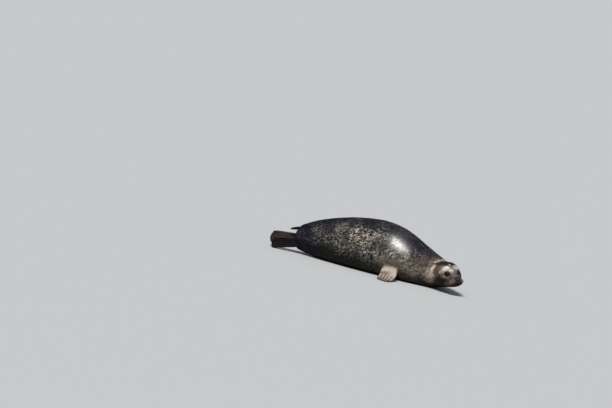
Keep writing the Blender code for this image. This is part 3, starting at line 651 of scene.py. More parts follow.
def tones(straight, limb, where):
    """The ground colour of each point, painted shade and sky reflection included, and how strong its
    squiggles, its freckles and its wetness are.
    """
    ragged = np.array([turbulence.noise_vector(Vector(point * 30.0)) for point in straight])
    ragged += 0.5 * np.array([turbulence.noise_vector(Vector(point * 85.0)) for point in straight])
    warped = straight + ragged * (0.007 + 0.024 * ramp(straight[:, 0], 0.10, 0.32))[:, None]
    back, side, up = straight.T
    mirrored = np.stack([warped[:, 0], np.abs(warped[:, 1]), warped[:, 2]], -1)
    middle = core_height(back)
    high = (up - middle) / np.maximum(np.hypot(side, up - middle), 1e-4)
    colour = np.tile(CHARCOAL, (len(back), 1))
    for tint, share in (
        # a dark back, its blue tint painted sky reflection
        (SLATE_WITH_SKY_REFLECTION, ramp(high, 0.25, 0.80)),
        # painted shade: darker towards the underside
        (UMBER, 1 - ramp(high, -0.50, 0.05)),
        (SLATE_WITH_SKY_REFLECTION * 0.8, 0.8 * ramp(back, 1.00, 1.25)),
    ):
        colour += share[:, None] * (tint - colour)
    flecks = 0.10 + 0.78 * ramp(high, -0.50, 0.20) * (1 - 0.90 * ramp(high, 0.62, 0.92))
    flecks *= (0.40 + 0.60 * (1 - ramp(back, 0.90, 1.12))) * (0.88 + 0.12 * ramp(back, 0.28, 0.55))
    from_wettest = (np.stack([back, np.abs(side), up], -1) - WETTEST) / WET_REACH
    wet = 0.12 + 0.88 * bell(long(from_wettest)[:, 0])
    wet *= 0.35 + 0.65 * ramp(high, -0.45, 0.0)
    spots = 0.65 * (1 - ramp(back, 0.30, 0.50))
    for centre, size, tint, strength, on in PATCHES:
        share = strength * bell(long((mirrored - centre) / np.array(size))[:, 0] ** 1.5)
        share = share * (1.0 if on == 0 else side * on > 0)
        colour += share[:, None] * (tint - colour)
        flecks *= 1 - FLECKS_LOST * share
    for eye_side, centre in EYE_AT.items():
        away = straight - np.array(centre)
        apart = np.arccos(np.clip(unit(away) @ GAZE[eye_side], -1, 1))
        share = (1 - ramp(apart, 0.80, 1.02)) * (long(away)[:, 0] < 0.03)
        colour += LID_DARK * share[:, None] * (SOOT - colour)
        spots *= 1 - share
    leather = 1 - ramp(np.hypot(np.abs(side) - 0.008, (up - 0.109) * 0.9), 0.006, 0.013)
    leather *= 1 - ramp(back, 0.008, 0.016)
    lips = bell((up - mouth_height(back)) / 0.0026) * (1 - ramp(back, 0.075, 0.092)) * (np.abs(side) < 0.08)
    for share in (LEATHER_DARK * leather, LIP_DARK * lips):
        colour += share[:, None] * (SOOT - colour)
    flecks *= ramp(back, 0.205, 0.28)
    on_limb = limb[0] * (limb[1] >= 0)
    across, along = where[:, 0], where[:, 1]
    fore = limb[1] < 2
    hand = CREAM + (SAND - CREAM) * (0.25 + 0.65 * ramp(along, 0.45, 0.8) * digit_share(across))[:, None]
    band = 0.75 * bell((along - 0.50) / 0.10) * ramp(across, -0.9, 0.4)
    grooves = 0.85 * (1 - digit_share(across)) * ramp(along, 0.46, 0.66)
    for share in (band, grooves):
        hand = hand + (UMBER - hand) * share[:, None]
    # painted shade: the lower, right hind flipper darker all over; the webs and the tips darker as well
    dark_webs_tips_and_shade = np.where(limb[1] == 3, 0.85, 0.0) + 0.75 * (1 - digit_share(across, 0.7))
    dark_webs_tips_and_shade += 0.30 * ramp(along, 0.70, 1.0)
    foot = RUST + (SOOT - RUST) * np.minimum(dark_webs_tips_and_shade, 0.95)[:, None]
    share = on_limb * np.where(fore, ramp(along, 0.12, 0.42), ramp(along, 0.02, 0.30))
    colour += share[:, None] * (np.where(fore[:, None], hand, foot) - colour)
    flecks *= 1 - share
    spots = spots + share * np.where(fore, 0.45, 0.15)
    wet += share * (np.where(fore, 0.30, 0.05) - wet)
    return np.clip(colour, 0, 1), np.stack([flecks, spots, wet], -1)


def keep(mesh, name, values):
    """Stores a vector or, from four numbers, a colour for each point under a name that materials read."""
    values = np.asarray(values, np.float32)
    kind, slot = ("FLOAT_COLOR", "color") if values.shape[1] == 4 else ("FLOAT_VECTOR", "vector")
    mesh.attributes.new(name, kind, "POINT").data.foreach_set(slot, values.ravel())


mesh = skin.data
places = positions(mesh)
straight = straightened(places)
off_limb, which_limb, on_sheet = nearest_limb(places, FILLET)
off_body = np.zeros(len(places))
near = np.flatnonzero(off_limb < FILLET)
off_body[near] = distances(hide_surface, places[near])
limb_share = ramp(off_body, 0.0, 0.012) * (off_limb < 0.006)
colour, marked = tones(straight, (limb_share, which_limb), on_sheet)
above_core = straight[:, 2] - core_height(straight[:, 0])
girth, turn = np.hypot(straight[:, 1], above_core), np.arctan2(straight[:, 1], above_core)
lie = np.stack([straight[:, 0], turn * (0.04 + 0.6 * girth), 0 * turn], -1)
lie_across = 0.05 * on_sheet[:, 0] + 0.3 * which_limb
lie_on_limb = np.stack([1.6 + 0.26 * on_sheet[:, 1], lie_across, 0 * turn], -1)
lie += limb_share[:, None] * (lie_on_limb - lie)
keep(mesh, "tone", np.insert(colour, 3, 1.0, axis=1))
keep(mesh, "marks", marked)
keep(mesh, "root", places)
keep(mesh, "lie", lie)


def node(tree, kind, at=(0, 0), **values):
    """A shader node with its settings and unlinked inputs."""
    made = tree.nodes.new(kind)
    made.location = at
    for name, value in values.items():
        if name in made.inputs:
            made.inputs[name].default_value = value
        else:
            setattr(made, name, value)
    return made


def link(tree, source, target):
    tree.links.new(source, target)


def maths(tree, operation, a, b=None, clamp=False):
    """The result of a Math node on two sockets or numbers."""
    made = tree.nodes.new("ShaderNodeMath")
    made.operation, made.use_clamp = operation, clamp
    for socket, value in zip(made.inputs, (a, b)):
        if isinstance(value, bpy.types.NodeSocket):
            link(tree, value, socket)
        elif value is not None:
            socket.default_value = value
    return made.outputs[0]


def spread(tree, value, low, high, to_low=0.0, to_high=1.0):
    """A value mapped smoothly from one range to another."""
    made = node(tree, "ShaderNodeMapRange", interpolation_type="SMOOTHSTEP")
    for k, number in enumerate((low, high, to_low, to_high), start=1):
        made.inputs[k].default_value = number
    link(tree, value, made.inputs[0])
    return made.outputs[0]


def mixed(tree, share, a, b):
    """Two colours mixed by a share. Each may be a socket or a colour."""
    made = node(tree, "ShaderNodeMix", data_type="RGBA")
    for index, value in ((0, share), (6, a), (7, b)):
        if isinstance(value, bpy.types.NodeSocket):
            link(tree, value, made.inputs[index])
        else:
            made.inputs[index].default_value = value if index == 0 else (*value, 1.0)
    return made.outputs[2]


def noise(tree, place, scale, detail=2.0, distortion=0.0):
    made = node(tree, "ShaderNodeTexNoise", Scale=scale, Detail=detail, Distortion=distortion)
    link(tree, place, made.inputs["Vector"])
    return made.outputs["Fac"]


markings = bpy.data.node_groups.new("seal_markings", "ShaderNodeTree")
for way, name, kind in (
    ("INPUT", "Tone", "Color"),
    ("INPUT", "Marks", "Vector"),
    ("INPUT", "Place", "Vector"),
    ("OUTPUT", "Color", "Color"),
    ("OUTPUT", "Dull", "Float"),
    ("OUTPUT", "Wet", "Float"),
):
    markings.interface.new_socket(name, in_out=way, socket_type=f"NodeSocket{kind}")
inside, outside = node(markings, "NodeGroupInput"), node(markings, "NodeGroupOutput")
tone, marks, place = (inside.outputs[name] for name in ("Tone", "Marks", "Place"))
parts = node(markings, "ShaderNodeSeparateXYZ")
link(markings, marks, parts.inputs[0])
fleck_share, freckle_share, wet_share = parts.outputs
swirl = maths(markings, "SUBTRACT", noise(markings, place, 71.0, 2.0, 0.9), 0.5)
swirl = maths(markings, "ABSOLUTE", swirl)
squiggle = spread(markings, swirl, 0.006, 0.056, 1.0, 0.0)
broken = spread(markings, noise(markings, place, 56.0, 1.0), 0.40, 0.56)
dense = spread(markings, noise(markings, place, 8.0, 1.0), 0.36, 0.62, 0.22, 1.0)
dots = spread(markings, noise(markings, place, 130.0, 1.0), 0.58, 0.70, 0.0, 0.8)
fleck = maths(markings, "MAXIMUM", maths(markings, "MULTIPLY", squiggle, broken), dots)
fleck = maths(markings, "MULTIPLY", maths(markings, "MULTIPLY", fleck, dense), fleck_share, clamp=True)
freckle = spread(markings, noise(markings, place, 150.0, 2.0, 0.4), 0.54, 0.64)
freckle = maths(markings, "MULTIPLY", freckle, freckle_share, clamp=True)
hair = spread(markings, noise(markings, place, 420.0, 2.0), 0.30, 0.70, 0.80, 1.16)
cloud = spread(markings, noise(markings, place, 11.0, 3.0), 0.30, 0.70, 0.82, 1.14)
shade = node(markings, "ShaderNodeVectorMath", operation="SCALE")
link(markings, tone, shade.inputs[0])
uneven = maths(markings, "MULTIPLY", hair, cloud)
link(markings, uneven, shade.inputs["Scale"])
pale = mixed(markings, maths(markings, "MULTIPLY", fleck, 0.95), shade.outputs[0], FLECK_TINT)
spotted = mixed(markings, maths(markings, "MULTIPLY", freckle, 0.80), pale, FRECKLE_TINT)
link(markings, spotted, outside.inputs["Color"])
rough = spread(markings, uneven, 0.75, 1.25, -0.05, 0.07)
dull = maths(markings, "ADD", rough, spread(markings, wet_share, 0.0, 1.0, 0.62, 0.36))
link(markings, dull, outside.inputs["Dull"])
link(markings, spread(markings, wet_share, 0.06, 1.0, 0.0, 0.95), outside.inputs["Wet"])
DRY_SPECULAR, WATER_ROUGHNESS, WATER_FILM = 0.09, 0.36, 1.72  # a film of water lies over the wet fur


def new_finish(name):
    """A material, its tree of nodes and its shader."""
    made = bpy.data.materials.new(name)
    made.use_nodes = True
    return made, made.node_tree, made.node_tree.nodes["Principled BSDF"]


def bumped(tree, shader, height, strength, depth):
    """Gives the shader fine relief from a height."""
    bump = node(tree, "ShaderNodeBump", (-300, -300), Strength=strength, Distance=depth)
    link(tree, height, bump.inputs["Height"])
    link(tree, bump.outputs[0], shader.inputs["Normal"])


def scaled(tree, place, scale, at):
    """A place stretched or squeezed along its axes."""
    made = node(tree, "ShaderNodeMapping", at, Scale=scale)
    link(tree, place, made.inputs["Vector"])
    return made.outputs[0]


def marked_material(name):
    """A material with the seal's markings, the painted shade and sky reflection in its tone, and its
    wetness.
    """
    made, tree, shader = new_finish(name)
    group = node(tree, "ShaderNodeGroup", (-400, 0), node_tree=markings)
    for socket, attribute in (("Tone", "tone"), ("Marks", "marks"), ("Place", "root")):
        source = node(tree, "ShaderNodeAttribute", (-700, 0), attribute_name=attribute)
        link(tree, source.outputs["Color" if socket == "Tone" else "Vector"], group.inputs[socket])
    for output, target in (("Color", "Base Color"), ("Dull", "Roughness"), ("Wet", "Coat Weight")):
        link(tree, group.outputs[output], shader.inputs[target])
    shader.inputs["Specular IOR Level"].default_value = DRY_SPECULAR
    shader.inputs["Coat Roughness"].default_value = WATER_ROUGHNESS
    shader.inputs["Coat IOR"].default_value = WATER_FILM
    return made, tree, shader


def in_one_finish(piece, finish):
    """Gives the whole piece one material."""
    piece.data.materials.clear()
    piece.data.materials.append(finish)
    for polygon in piece.data.polygons:
        polygon.material_index = 0


STRAND_SCALE, LOCK_SCALE = (110.0, 900.0, 1.0), (28.0, 160.0, 1.0)
hide_finish, tree, shader = marked_material("hide")
lie_of_hair = node(tree, "ShaderNodeAttribute", (-900, -300), attribute_name="lie").outputs["Vector"]
strands = noise(tree, scaled(tree, lie_of_hair, STRAND_SCALE, (-700, -300)), 1.0, 3.0)
clumps = noise(tree, scaled(tree, lie_of_hair, LOCK_SCALE, (-700, -500)), 1.0, 2.0)
height = maths(tree, "ADD", maths(tree, "MULTIPLY", strands, 0.6), maths(tree, "MULTIPLY", clumps, 0.8))
bumped(tree, shader, height, 0.45, 0.0012)
in_one_finish(skin, hide_finish)
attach(skin, "root")
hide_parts(*FLESH, "tail", *LIMBS)

# ----------------------------------------------------------------------
# The eyes. Large wet balls, almost black: a brown iris round a wide pupil, and a clear cornea that bulges a
# little. Each sits behind its lids and looks out to the side and ahead.
# ----------------------------------------------------------------------
CORNEA_BULGE, IRIS_ANGLE = 0.0009, 0.66
WHITE_FROM, WHITE_TO, IRIS_TO, PUPIL_FROM, PUPIL_TO = np.cos((0.80, 0.70, 0.62, 0.49, 0.44))
WHITE_RIM, WHITE_BY_IRIS, PUPIL = paint(40, 29, 24), paint(18, 11, 9), (0.002, 0.002, 0.003)
for side, name in ((1, "left"), (-1, "right")):
    centre, look, long_way, short_way = eye_axes(side)
    ball = bmesh.new()
    bmesh.ops.create_uvsphere(ball, u_segments=64, v_segments=48, radius=1.0)
    for vert in ball.verts:
        vert.co *= EYE_RADIUS + CORNEA_BULGE * ramp(vert.co.z, math.cos(IRIS_ANGLE), 1.0)
    bmesh.ops.transform(ball, matrix=placing(centre, long_way, short_way, look), verts=ball.verts[:])
    eye = new_piece(f"eyeball_{name}", ball)
    finish, tree, shader = new_finish(f"eye_{name}")
    here = node(tree, "ShaderNodeTexCoord", (-1200, 0)).outputs["Object"]
    away = node(tree, "ShaderNodeVectorMath", (-1000, 0), operation="SUBTRACT")
    link(tree, here, away.inputs[0])
    away.inputs[1].default_value = centre
    out = node(tree, "ShaderNodeVectorMath", (-800, 0), operation="DOT_PRODUCT")
    link(tree, away.outputs[0], out.inputs[0])
    out.inputs[1].default_value = look
    facing = maths(tree, "DIVIDE", out.outputs["Value"], EYE_RADIUS)
    fibres = noise(tree, here, 700.0, 2.0)
    iris = mixed(tree, fibres, paint(20, 12, 9), paint(46, 28, 18))
    white = mixed(tree, spread(tree, facing, WHITE_FROM, WHITE_TO), WHITE_RIM, WHITE_BY_IRIS)
    coloured = mixed(tree, spread(tree, facing, WHITE_TO, IRIS_TO), white, iris)
    ball_colour = mixed(tree, spread(tree, facing, PUPIL_FROM, PUPIL_TO), coloured, PUPIL)
    link(tree, ball_colour, shader.inputs["Base Color"])
    shader.inputs["Roughness"].default_value = 0.10
    shader.inputs["Specular IOR Level"].default_value = 0.10
    shader.inputs["Coat Weight"].default_value = 0.08
    shader.inputs["Coat Roughness"].default_value = 0.02
    eye.data.materials.append(finish)
    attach(eye, "root")
    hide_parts(f"eye_{name}")

# ----------------------------------------------------------------------
# The nose leather. Bare, damp, dark skin round the two nostrils, with fine pebbling and a cleft down its
# middle. It lies on the front of the muzzle and is opened by the same nostrils.
# ----------------------------------------------------------------------
LEATHER_HEIGHT, LEATHER_HALF_HEIGHT, LEATHER_TOP_HALF, LEATHER_FOOT_HALF = 0.1100, 0.0105, 0.0200, 0.0085
LEATHER_PROUD, LEATHER_THICKNESS, LEATHER_RIM, PEBBLE_SCALE = 0.0004, 0.0016, 0.0003, 1300.0
pad = bmesh.new()
bmesh.ops.create_grid(pad, x_segments=52, y_segments=36, size=1.0)
for vert in pad.verts:
    x, y = vert.co.x * math.sqrt(1 - vert.co.y**2 / 2), vert.co.y * math.sqrt(1 - vert.co.x**2 / 2)
    wide = LEATHER_FOOT_HALF + (LEATHER_TOP_HALF - LEATHER_FOOT_HALF) * (y + 1) / 2
    rim = ramp(math.hypot(x, y), 0.80, 1.0)
    place, inward = on_hide(0.0, x * wide, LEATHER_HEIGHT + y * LEATHER_HALF_HEIGHT, (1.0, 0.0, 0.0))
    vert.co = place - inward * (LEATHER_PROUD - (LEATHER_PROUD + LEATHER_RIM) * rim)
inward = Vector(on_hide(0.0, 0.0, LEATHER_HEIGHT, (1.0, 0.0, 0.0))[1])
for vert in only_points(bmesh.ops.extrude_face_region(pad, geom=pad.faces[:])["geom"]):
    vert.co += inward * LEATHER_THICKNESS
nose = new_piece("nose_leather", pad)
bores = bmesh.new()
for side in nostrils:
    cut_nostril(bores, side)
applied_boolean(nose, new_piece("bores", bores), "DIFFERENCE")
nose.data.shade_smooth()
nose.data.set_sharp_from_angle(angle=math.radians(50))
leather, tree, shader = new_finish("nose_leather")
here = node(tree, "ShaderNodeTexCoord", (-900, 0)).outputs["Object"]
patch = spread(tree, noise(tree, here, 240.0, 3.0), 0.35, 0.65)
link(tree, mixed(tree, patch, paint(24, 20, 20), paint(48, 40, 39)), shader.inputs["Base Color"])
pebbles = node(tree, "ShaderNodeTexVoronoi", (-700, -300), Scale=PEBBLE_SCALE)
link(tree, here, pebbles.inputs["Vector"])
bumped(tree, shader, pebbles.outputs["Distance"], 0.5, 0.0004)
link(tree, spread(tree, noise(tree, here, 500.0), 0.3, 0.7, 0.34, 0.50), shader.inputs["Roughness"])
shader.inputs["Specular IOR Level"].default_value = 0.35
in_one_finish(nose, leather)
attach(nose, "root")

# ----------------------------------------------------------------------
# The claws. Horn, one on each digit: long and strong on the fore flippers, short and thin on the hind ones.
# Each grows out of the upper side of its digit near the tip and hooks down a little.
# ----------------------------------------------------------------------
# Where along the digit a claw starts, its length, its radius, and how high in the digit it is rooted.
CLAWS = {"fore": (0.885, 0.034, 0.0036, 0.80), "hind": (0.900, 0.014, 0.0022, 0.60)}
CLAW_SIDES, CLAW_RINGS, CLAW_END, CLAW_HOOK, CLAW_FLATTENING = 14, 9, 0.12, 0.13, 0.82
HORN_DARK, HORN_PALE, HORN_ROOT = paint(24, 19, 17), paint(54, 43, 36), paint(92, 74, 63)
HORN_STREAKS = (9.0, 9.0, 1.2)
horn, tree, shader = new_finish("claw_horn")
place = node(tree, "ShaderNodeAttribute", (-1000, 0), attribute_name="grain").outputs["Vector"]
along = node(tree, "ShaderNodeSeparateXYZ", (-800, 0))
link(tree, place, along.inputs[0])
streaks = noise(tree, scaled(tree, place, HORN_STREAKS, (-800, -200)), 1.0, 3.0)
base = mixed(tree, spread(tree, streaks, 0.35, 0.65), HORN_DARK, HORN_PALE)
base = mixed(tree, spread(tree, along.outputs[2], 0.0, 0.35, 0.55, 0.0), base, HORN_ROOT)
link(tree, base, shader.inputs["Base Color"])
bumped(tree, shader, streaks, 0.3, 0.0003)
link(tree, spread(tree, streaks, 0.3, 0.7, 0.28, 0.45), shader.inputs["Roughness"])


def ringed_tube(bm, sides, rings, end_radius):
    """The points of a closed tube 1 high on its own Z, cut into rings, from a radius of 1 to the end's."""
    ends = {"segments": sides, "radius1": 1.0, "radius2": end_radius, "depth": 1.0}
    made = bmesh.ops.create_cone(bm, cap_ends=True, **ends)["verts"]
    geometry = {*made, *(e for v in made for e in v.link_edges), *(f for v in made for f in v.link_faces)}
    for k in range(1, rings):
        plane = {"plane_co": (0, 0, k / rings - 0.5), "plane_no": (0, 0, 1), "dist": 1e-7}
        geometry |= {*bmesh.ops.bisect_plane(bm, geom=list(geometry), **plane)["geom"]}
    faces = [item for item in geometry if item.is_valid and isinstance(item, bmesh.types.BMFace)]
    return {vert for face in faces for vert in face.verts}


# Places on the flat sheet round a claw's root: the root, further out, right, left, above and below.
AROUND_CLAW = ((0, 0, None), (0, 0.08, None), (0.1, 0, None), (-0.1, 0, None), (0, 0, 1.0), (0, 0, -1.0))
for kind, (start, length, radius, thick) in CLAWS.items():
    claws = bmesh.new()
    grains = {}
    for name, (place_on, side, rows) in LIMBS.items():
        if not name.startswith(kind):
            continue
        for across in DIGITS_ACROSS:
            sheet = [(across + a, start + b, thick if c is None else c) for a, b, c in AROUND_CLAW]
            root, further, right_of, left_of, over, under = place_on(side, sheet)
            forward = unit(further - root)
            upright = unit(np.cross(right_of - left_of, forward))
            upright *= np.sign(upright @ (over - under))
            for vert in ringed_tube(claws, CLAW_SIDES, CLAW_RINGS, CLAW_END):
                share = vert.co.z + 0.5
                grains[vert] = (vert.co.x, vert.co.y, share)
                taper = (1 - share) ** 0.55 * (1 + 0.5 * share) + 0.06 if share > 0 else 1.06
                flat = np.hypot(vert.co.x, vert.co.y)
                x, y = (vert.co.x / flat, vert.co.y / flat) if flat > 1e-6 else (0.0, 0.0)
                spot = root + forward * share * length - upright * CLAW_HOOK * length * share**2
                spot = spot + np.cross(forward, upright) * x * radius * CLAW_FLATTENING * taper
                spot = spot + upright * y * radius * taper
                vert.co = (spot[0], spot[1], max(spot[2], 0.0))
    grain = [grains[vert] for vert in claws.verts]
    piece = new_piece(f"claws_{kind}", claws)
    keep(piece.data, "grain", grain)
    piece.data.materials.append(horn)
    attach(piece, "root")

# ----------------------------------------------------------------------
# The whiskers. Stiff beaded hairs, round in section, in rows on the lip pads, with a few over each eye.
# Each leaves a small dark follicle, sweeps out and back, and droops.
# ----------------------------------------------------------------------
# Rows: how high, how far back the first one stands, how many there are, and the length of the longest.
WHISKER_ROWS = (
    (0.1115, 0.018, 4, 0.028),
    (0.1065, 0.011, 6, 0.038),
    (0.1013, 0.008, 7, 0.048),
    (0.0960, 0.008, 7, 0.052),
    (0.0912, 0.012, 6, 0.046),
)
WHISKER_SPACING, WHISKER_RADIUS, WHISKER_SIDES, WHISKER_RINGS = 0.0058, 0.00042, 6, 14
WHISKER_TAPER, BEADING, BEAD_LENGTH, WHISKER_DROOP = 0.88, 0.10, 0.0022, 0.45
FOLLICLE_RADIUS, FOLLICLE_LENGTH = 0.0010, 0.0007
BROW_WHISKERS = ((0.098, 0.030, 0.020), (0.103, 0.036, 0.026), (0.108, 0.042, 0.024), (0.112, 0.034, 0.018))
whiskers = bmesh.new()
from_follicle = {}
chance = np.random.default_rng(7)


def add_whisker(root, way, droop, length):
    """One whisker from its follicle: thick and dark at the root, bent evenly towards the droop."""
    side_way = unit(np.cross(way, droop))
    up_way = np.cross(side_way, way)
    for vert in ringed_tube(whiskers, WHISKER_SIDES, WHISKER_RINGS, 1.0):
        share = vert.co.z + 0.5
        out = from_follicle[vert] = share * length
        bead = 1 + BEADING * math.sin(out / BEAD_LENGTH * math.pi)
        thick = WHISKER_RADIUS * (1 - WHISKER_TAPER * share) * bead
        thick += FOLLICLE_RADIUS * math.exp(-((out / FOLLICLE_LENGTH) ** 2))
        spot = root + way * length * (share - 0.02) + droop * length * WHISKER_DROOP * share**2
        spot = spot + (side_way * vert.co.x + up_way * vert.co.y) * thick
        vert.co = (spot[0], spot[1], max(spot[2], 0.002))


for side in (-1, 1):
    for height, first, count, longest in WHISKER_ROWS:
        for k in range(count):
            back = first + WHISKER_SPACING * k
            root = on_hide(back, 0.0, height, (0.55, -0.84 * side, 0.0))[0]
            middle = bent((back, 0.0, height))
            behind = (bent((back + 0.01, 0.0, height)) - middle) / 0.01
            way = 0.75 * (bent((back, side, height)) - middle) + 0.50 * behind
            way = way + (0.0, 0.0, (height - 0.097) * 22) + chance.normal(0, 0.07, 3)
            length = longest * (0.55 + 0.45 * k / count) * chance.uniform(0.9, 1.1)
            add_whisker(root, unit(way), unit((0.0, 0.0, -0.8) + 0.6 * behind), length)
    for back, aside, longest in BROW_WHISKERS:
        root, inward = on_hide(back, aside * side, 0.16, (0.0, -0.25 * side, -1.0))
        way = -inward + 0.5 * (bent((back + 0.01, 0.0, 0.1)) - bent((back, 0.0, 0.1))) / 0.01
        add_whisker(root, unit(way), np.array((0.0, 0.0, -1.0)), longest)
distance_out = [(from_follicle[vert], 0.0, 0.0) for vert in whiskers.verts]
piece = new_piece("whiskers", whiskers)
keep(piece.data, "out", distance_out)
strand, tree, shader = new_finish("whisker")
here = node(tree, "ShaderNodeTexCoord", (-900, 0)).outputs["Object"]
tint = spread(tree, noise(tree, here, 90.0, 2.0), 0.35, 0.65)
stored = node(tree, "ShaderNodeAttribute", (-900, 200), attribute_name="out").outputs["Vector"]
out = node(tree, "ShaderNodeSeparateXYZ", (-700, 200))
link(tree, stored, out.inputs[0])
horny = mixed(tree, tint, paint(196, 182, 160), paint(120, 104, 88))
dark_root = spread(tree, out.outputs[0], 0.0012, 0.0040, 1.0, 0.0)
link(tree, mixed(tree, dark_root, horny, paint(40, 32, 28)), shader.inputs["Base Color"])
link(tree, spread(tree, tint, 0.0, 1.0, 0.28, 0.42), shader.inputs["Roughness"])
piece.data.materials.append(strand)
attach(piece, "root")

# ----------------------------------------------------------------------
# The coat. Stiff flat hair a few millimetres long that lies back to the tail and out along the flippers,
# shortest on the face and hands. Each tuft is a thin blade that grows from the hide and bears its markings
# and painted shade.
# A few blades stand a little prouder and break the outline.
# ----------------------------------------------------------------------
NOSE_SPREAD, SIDE_FALL = 0.45, 0.22  # how far the hair fans out round the nose and falls down the sides
hide_back, hide_side, hide_up = straight.T
mesh = skin.data
mesh.calc_loop_triangles()
places, normals = positions(mesh), np.array([vert.normal for vert in mesh.vertices])
corners = np.array([triangle.vertices for triangle in mesh.loop_triangles])
along_body = bent(straight + (0.004, 0.0, 0.0)) - bent(straight)
swollen = straight * (1, 1.04, 1.04)
swollen[:, 2] -= 0.04 * core_height(hide_back)
outward = unit(bent(swollen) - bent(straight))
flow = unit(along_body) + NOSE_SPREAD * outward * (1 - ramp(hide_back, 0.01, 0.08))[:, None]
flow[:, 2] -= SIDE_FALL * (1 - np.abs(normals[:, 2])) * ramp(hide_back, 0.1, 0.4)
for number, (place_on, side, rows) in enumerate(LIMBS.values()):
    of_limb = np.flatnonzero((which_limb == number) & (limb_share > 0))
    nearer = on_sheet[of_limb].copy()
    nearer[:, 1] = np.minimum(nearer[:, 1], 0.93)
    way = unit(place_on(side, nearer + (0.0, 0.03, 0.0)) - place_on(side, nearer))
    flow[of_limb] += limb_share[of_limb, None] * (way - flow[of_limb])
flow -= normals * (flow * normals).sum(1)[:, None]
flow = unit(flow)

# Where tufts grow: not in the sockets, nostrils, mouth and ear holes, nor on the leather of the nose.
LENGTHS = ([0.0, 0.05, 0.12, 0.25, 0.45, 1.4], [0.0022, 0.0032, 0.0048, 0.0068, 0.0088, 0.0092])
HAND_LENGTH, TUFT_WIDTH, TUFT_HEIGHT, TUFT_AREA = 0.0050, 0.13, 0.055, 0.168
BARE_LID, BARE_EAR, BARE_LIP, BARE_NOSE = 0.0022, 0.0045, 0.0016, (0.021, 0.0125)
bare = np.zeros(len(places), bool)
for side in (-1, 1):
    centre, look, long_way, short_way = eye_axes(side)
    away = places - centre
    far = long(away)[:, 0]
    over_x = away @ long_way / (LID_HALF_LENGTH + BARE_LID)
    over_y = away @ short_way / (LID_HALF_OPENING + BARE_LID)
    bare |= (over_x**2 + over_y**2 < 1.0) & (away @ look > 0) & (far < 0.03)
    bare |= far < EYE_RADIUS + 0.0005
    bare |= long(places - ears[side][0])[:, 0] < BARE_EAR
off_leather = np.hypot(hide_side / BARE_NOSE[0], (hide_up - LEATHER_HEIGHT) / BARE_NOSE[1])
bare |= (hide_back < 0.016) & (off_leather < 1.0)
off_lips = np.abs(hide_up - mouth_height(hide_back))
bare |= (off_lips < BARE_LIP) & (hide_back < MOUTH_BACK) & (limb_share < 0.5)
bare |= (limb_share > 0.5) & (on_sheet[:, 1] > 0.985)
length = np.interp(hide_back, *LENGTHS)
length += limb_share * (HAND_LENGTH - length)
first, second, third = (places[corners[:, k]] for k in range(3))
area = long(np.cross(second - first, third - first))[:, 0] / 2
wanted = area / (length[corners].mean(1) ** 2 * TUFT_AREA) * ~bare[corners].any(1)
chance = np.random.default_rng(11)
number_on = np.floor(wanted + chance.random(len(wanted))).astype(int)
on_face = np.repeat(np.arange(len(corners)), number_on)
one, two = chance.random(len(on_face)), chance.random(len(on_face))
one, two = np.where(one + two > 1, 1 - one, one), np.where(one + two > 1, 1 - two, two)
weights = np.stack([1 - one - two, one, two], -1)
nearest = corners[on_face, weights.argmax(1)]


def at_roots(values):
    """A value of the hide's points where each tuft grows."""
    return (values[corners[on_face]] * weights[..., None]).sum(1)


TUFT_SCATTER, PROUDER, PROUD_SHARE = 0.16, 1.6, 0.06
roots, up_from = at_roots(places), unit(at_roots(normals))
along_hide = at_roots(flow)
sideways = np.cross(up_from, along_hide)
lean = unit(along_hide + sideways * chance.normal(0, TUFT_SCATTER, (len(roots), 1)))
across_lean = np.cross(up_from, lean)
size = at_roots(length[:, None])[:, 0] * chance.uniform(0.75, 1.25, len(roots))
proud = 1 + PROUDER * (chance.random(len(roots)) < PROUD_SHARE)
tuft_tone = at_roots(colour) * chance.uniform(0.80, 1.18, (len(roots), 1))
tuft_marks = at_roots(marked)

# One blade: a root below the hide, three points round its middle, and a tip.
HEEL_BACK, RING_AHEAD, HEEL_DEPTH, EDGE_LIFT, TIP_LIFT = -0.10, 0.38, -0.9, 0.12, 0.62
blade = bmesh.new()
bmesh.ops.create_cone(blade, cap_ends=True, segments=3, radius1=1.0, radius2=0.0, depth=1.0)
bmesh.ops.poke(blade, faces=[face for face in blade.faces if all(vert.co.z < 0 for vert in face.verts)])
blade.verts.ensure_lookup_table()
blade.verts.index_update()
points = np.array([vert.co for vert in blade.verts])
blade_faces = np.array([[vert.index for vert in face.verts] for face in blade.faces])
blade.free()
ring = (points[:, 2] < 0) & (np.hypot(points[:, 0], points[:, 1]) > 0.5)
heel = (points[:, 2] < 0) & ~ring
turned_up = ring & (points[:, 1] == points[ring, 1].max())
edge_side = np.where(ring & ~turned_up, np.sign(points[:, 0] - points[turned_up, 0]), 0.0)
ahead_share = np.where(heel, HEEL_BACK, np.where(ring, RING_AHEAD, 1.0))
lift_share = np.where(heel, HEEL_DEPTH, np.where(turned_up, 1.0, np.where(ring, EDGE_LIFT, TIP_LIFT)))

